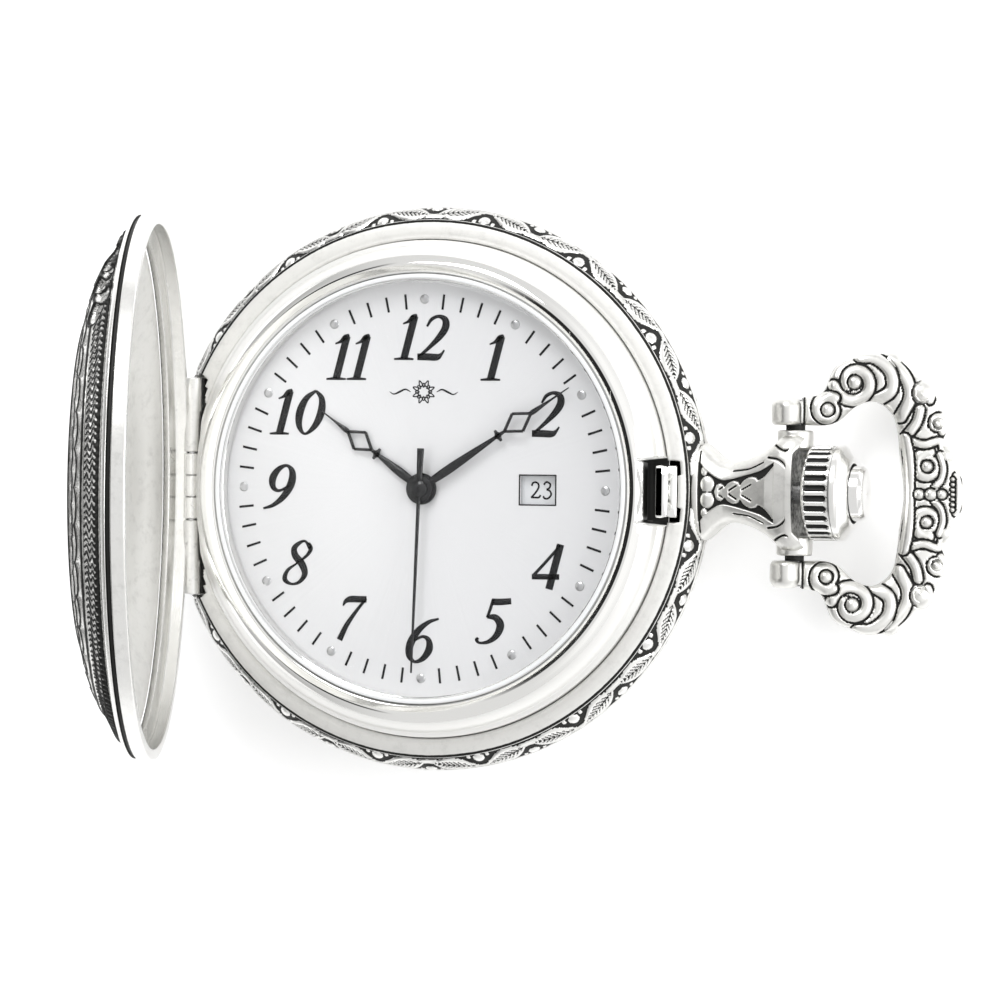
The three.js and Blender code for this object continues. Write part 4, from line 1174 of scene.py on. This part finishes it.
def bow():
    """A band from one barrel round to the other, ruled between its outer and inner outlines; the
    section is a squashed oval, the scrolls are worked into its faces, and round lobes stand along
    the outer edge."""
    half_stations, around = 330, 120
    outer = along(spline(BOW_OUTER, 260), half_stations)
    inner = along(spline(BOW_INNER, 200), half_stations)
    flip = np.array([1, -1])
    outer = np.vstack([outer, (outer * flip)[::-1][1:]])
    inner = np.vstack([inner, (inner * flip)[::-1][1:]])
    phi = np.arange(around) / around * TAU
    blend = 0.5 - 0.5 * np.sign(np.cos(phi)) * np.abs(np.cos(phi)) ** 0.85
    depth = np.sign(np.sin(phi)) * np.abs(np.sin(phi)) ** 0.5
    flat = outer[:, None] + (inner - outer)[:, None] * blend[None, :, None]
    u, v = flat[..., 0], flat[..., 1]
    relief = bow_relief(u, v)
    hidden = smooth((0.7 - u) / 0.25)
    joint = np.exp(-((u - 0.62) / 0.1) ** 2)
    relief = relief * (1 - joint)
    facing = smooth((np.abs(depth) - 0.35) / 0.3)[None, :]
    z = (1.25 - 0.42 * (1 - np.clip(relief, 0, 1.1)) * facing) * depth[None, :]
    z = z * (1 - 0.3 * hidden)
    v = np.sign(v) * np.where(hidden > 0.5, np.clip(np.abs(v), 5.75, 7.6), np.abs(v))
    # oxide in the cut lines, and a wide grey band round them that is painted shade
    recess = np.maximum(smooth((0.4 - relief) / 0.25), 0.6 * smooth((0.95 - relief) / 0.75)) * facing
    # painted shade: the bow's inner and outer edge walls are greyed
    recess = np.maximum(recess, 0.44 * (1 - facing) * (1 - hidden))
    parts = [capped(np.stack([u, v, z], -1))]
    marks = [np.concatenate([np.zeros((1, around)), recess, np.zeros((1, around))]).ravel()]
    for side in (-1, 1):
        outline = rounded([[0.02, side * 5.6], [1.45, side * 5.6], [1.75, side * 5.85], [1.8, side * 7.3],
                           [1.3, side * 7.85], [0.02, side * 7.9]], 0.3, 6)
        barrel = about_y(turn(outline, 64), [0, 0, 0])
        barrel[..., 0] = barrel[..., 0] * 0.72 - 0.75
        parts.append(surface(barrel))
        marks.append(np.zeros(len(parts[-1][0])))
        shank = rounded([[0.02, side * 4.6], [0.8, side * 4.6], [0.8, side * 5.65],
                         [0.02, side * 5.65]], 0.05)
        parts.append(surface(about_y(turn(shank, 28), [0, 0, 0])))
        # painted shade: the shanks are painted black, as shade in the gap between pendant ears and barrels
        marks.append(np.ones(len(parts[-1][0])))
        for lobe_u, lobe_v, radius, squash in BOW_LOBES:
            if lobe_v or side > 0:
                parts.append(ball((lobe_u, side * lobe_v, 0), radius, squash, 36))
                marks.append(np.zeros(len(parts[-1][0])))
    placed = [(turned_in_y(points + BOW_AXIS, BOW_DROOP, BOW_AXIS), faces) for points, faces in parts]
    return piece("bow_scrolled", placed, CHASED_METAL, "bow", ["bow"],
                 metal_marks(np.concatenate(marks)))


def bow_screws():
    """The two pivot screws, plain rods along Y in their nodes' own boxes."""
    for number in (1, 2):
        low, high = box_mm(f"bow_screw_{number}")
        inner_y, outer_y = sorted((low[1], high[1]), key=abs)
        radius = min(high[0] - low[0], high[2] - low[2]) / 2
        outline = rounded([[0.02, inner_y], [radius * 0.9, inner_y], [radius * 0.9, outer_y],
                           [0.02, outer_y]], 0.08)
        middle = (low + high) / 2
        rod = surface(about_y(turn(outline, 28), [middle[0], 0, middle[2]]))
        piece(f"bow_screw_{number}_turned", [rod], STEEL, "bow", [f"bow_screw_{number}"])


BEZEL_METAL = antique_metal("bezel_plate", smudge=0.0, rough=0.05, grain=1.0)
CROWN_METAL = antique_metal("crown_plate", smudge=0.2, rough=0.2)

case_middle()
bezel()
crystal()
crystal_seal()
back_cover()
lid_rim()
lid_cover()
hinge_pin()
latch()
dial_printing()
dial_dots()
date_figures()
diamond_hand("hour_hand_fine", 306, "hour_hand", "hours", 2.3, 4.9, 5.45, 8.05, 10.93, 1.32)
diamond_hand("minute_hand_fine", 56.4, "minute_hand", "minutes", 3.2, 8.1, 8.75, 11.5, 15.38, 1.1)
second_hand()
crown()
push_button()
pendant()
bow()
bow_screws()

CARRIED = {
    DIAL_WHITE: ["dial"], DATE_PAPER: ["date_ring"], RUBBER: ["back_gasket", "pendant_sleeve"],
    PLASTIC: ["movement_ring"], CELL: ["battery"], COPPER: ["coil"], BOARD: ["circuit_board"],
    BRASS: ["date_guard", "main_plate", "train_bridge", "third_wheel", "fifth_wheel", "fourth_wheel",
            "centre_wheel", "minute_wheel", "hour_wheel", "setting_wheel", "date_idler", "battery_clamp"],
    STEEL: ["lift_spring", "stem", "button_spring", "bridge_screw_1", "bridge_screw_2",
            "bridge_screw_3", "rotor", "clutch_wheel", "stator", "quartz_can"],
}
for material, names in CARRIED.items():
    for name in names:
        mesh = frame["nodes"][name].data
        mesh.materials.clear()
        mesh.materials.append(material)


# ---- table, light and camera ----
def table_top():
    """A wide flat sheet, just under the watch."""
    low = CAD_BOX[0][2]
    x = np.linspace(-1.2, 1.2, 3)
    top = np.stack([*np.meshgrid(x, x, indexing="ij"), np.full((3, 3), low - 0.00005)], -1)
    mesh = bpy.data.meshes.new("table_top")
    points, faces = surface(top, wrap=(False, False))
    mesh.from_pydata(points, [], faces)
    obj = bpy.data.objects.new("table_top", mesh)
    bpy.context.collection.objects.link(obj)
    material, tree, shader = new_material("table_paper")
    place = tree.nodes.new("ShaderNodeTexCoord").outputs["Object"]
    fibre = noise(tree, place, 900, 4, 0.6)
    paper = mix_color(tree, fibre, (0.93, 0.93, 0.93), (0.90, 0.90, 0.90))
    tree.links.new(paper, shader.inputs["Base Color"])
    shader.inputs["Roughness"].default_value = 0.9
    shader.inputs["Specular IOR Level"].default_value = 0.1
    shader.inputs["Emission Color"].default_value = (1, 1, 1, 1)
    shader.inputs["Emission Strength"].default_value = 0.32
    mesh.materials.append(material)


def soft_light(name, place, aim, size, power):
    """A square panel of soft light in millimetres, turned to face its aim."""
    data = bpy.data.lights.new(name, "AREA")
    data.shape, data.size, data.energy = "DISK", size * MM, power
    lamp = bpy.data.objects.new(name, data)
    back = (np.array(place, float) - np.array(aim, float))
    back /= np.linalg.norm(back)
    right = np.cross([0, 0, 1] if abs(back[2]) < 0.99 else [0, 1, 0], back)
    right /= np.linalg.norm(right)
    up = np.cross(back, right)
    turned_matrix = np.eye(4)
    turned_matrix[:3, :3] = np.stack([right, up, back], -1)
    turned_matrix[:3, 3] = np.array(place) * MM
    lamp.matrix_world = Matrix(turned_matrix.tolist())
    bpy.context.collection.objects.link(lamp)


def studio():
    """White tent: bright above, greyer low down, brightest on the pendant side, with one black strip
    standing over the hinge side, so that polished rings carry a dark line."""
    world = bpy.data.worlds.new("studio")
    bpy.context.scene.world = world
    world.use_nodes = True
    tree = world.node_tree
    place = tree.nodes.new("ShaderNodeTexCoord").outputs["Generated"]
    apart = tree.nodes.new("ShaderNodeSeparateXYZ")
    tree.links.new(place, apart.inputs[0])
    across, _, up = apart.outputs
    height = remap(tree, up, 0.05, 0.55)
    hinge_side = remap(tree, across, -0.85, -0.35)
    flag = math_node(tree, "MULTIPLY", remap(tree, across, -0.38, -0.46), remap(tree, across, -0.90, -0.80))
    flag = math_node(tree, "MULTIPLY", flag, remap(tree, up, 0.35, 0.5))
    low = math_node(tree, "MULTIPLY_ADD", math_node(tree, "MAXIMUM", height, hinge_side), 0.36, 0.52)
    glow = math_node(tree, "MULTIPLY", remap(tree, across, 0.15, 0.6), remap(tree, up, 0.2, 0.5))
    low = math_node(tree, "MULTIPLY_ADD", glow, 0.32, low)
    level = math_node(tree, "MULTIPLY", low, math_node(tree, "MULTIPLY_ADD", flag, -0.97, 1.0))
    background = tree.nodes["Background"]
    background.inputs["Color"].default_value = (1, 1, 1, 1)
    tree.links.new(level, background.inputs["Strength"])


def camera():
    """Long lens above the dial, leaning towards the pendant side."""
    yaw, pitch, roll = 0.295493, 0.0069016, 0.0105012
    distance, aim = 430.945, np.array([6.72987, -0.85774, 10.0])
    back = np.array([math.sin(yaw) * math.cos(pitch), math.sin(pitch), math.cos(yaw) * math.cos(pitch)])
    right = np.array([math.cos(yaw), 0, -math.sin(yaw)])
    up = np.cross(back, right)
    right, up = (math.cos(roll) * right + math.sin(roll) * up, math.cos(roll) * up - math.sin(roll) * right)
    data = bpy.data.cameras.new("camera")
    data.sensor_width, data.lens = 36, 186.27
    data.clip_start, data.clip_end = 0.01, 10
    made = bpy.data.objects.new("camera", data)
    matrix = np.eye(4)
    matrix[:3, :3] = np.stack([right, up, back], -1)
    matrix[:3, 3] = (aim + back * distance) * MM
    made.matrix_world = Matrix(matrix.tolist())
    bpy.context.collection.objects.link(made)
    bpy.context.scene.camera = made


table_top()
studio()
soft_light("key_panel", (-40, 420, 380), (5, 0, 8), 300, 1.5)
soft_light("pendant_side_panel", (400, 20, 165), (5, 0, 8), 240, 0.7)
camera()
bpy.context.scene.view_settings.view_transform = "Standard"
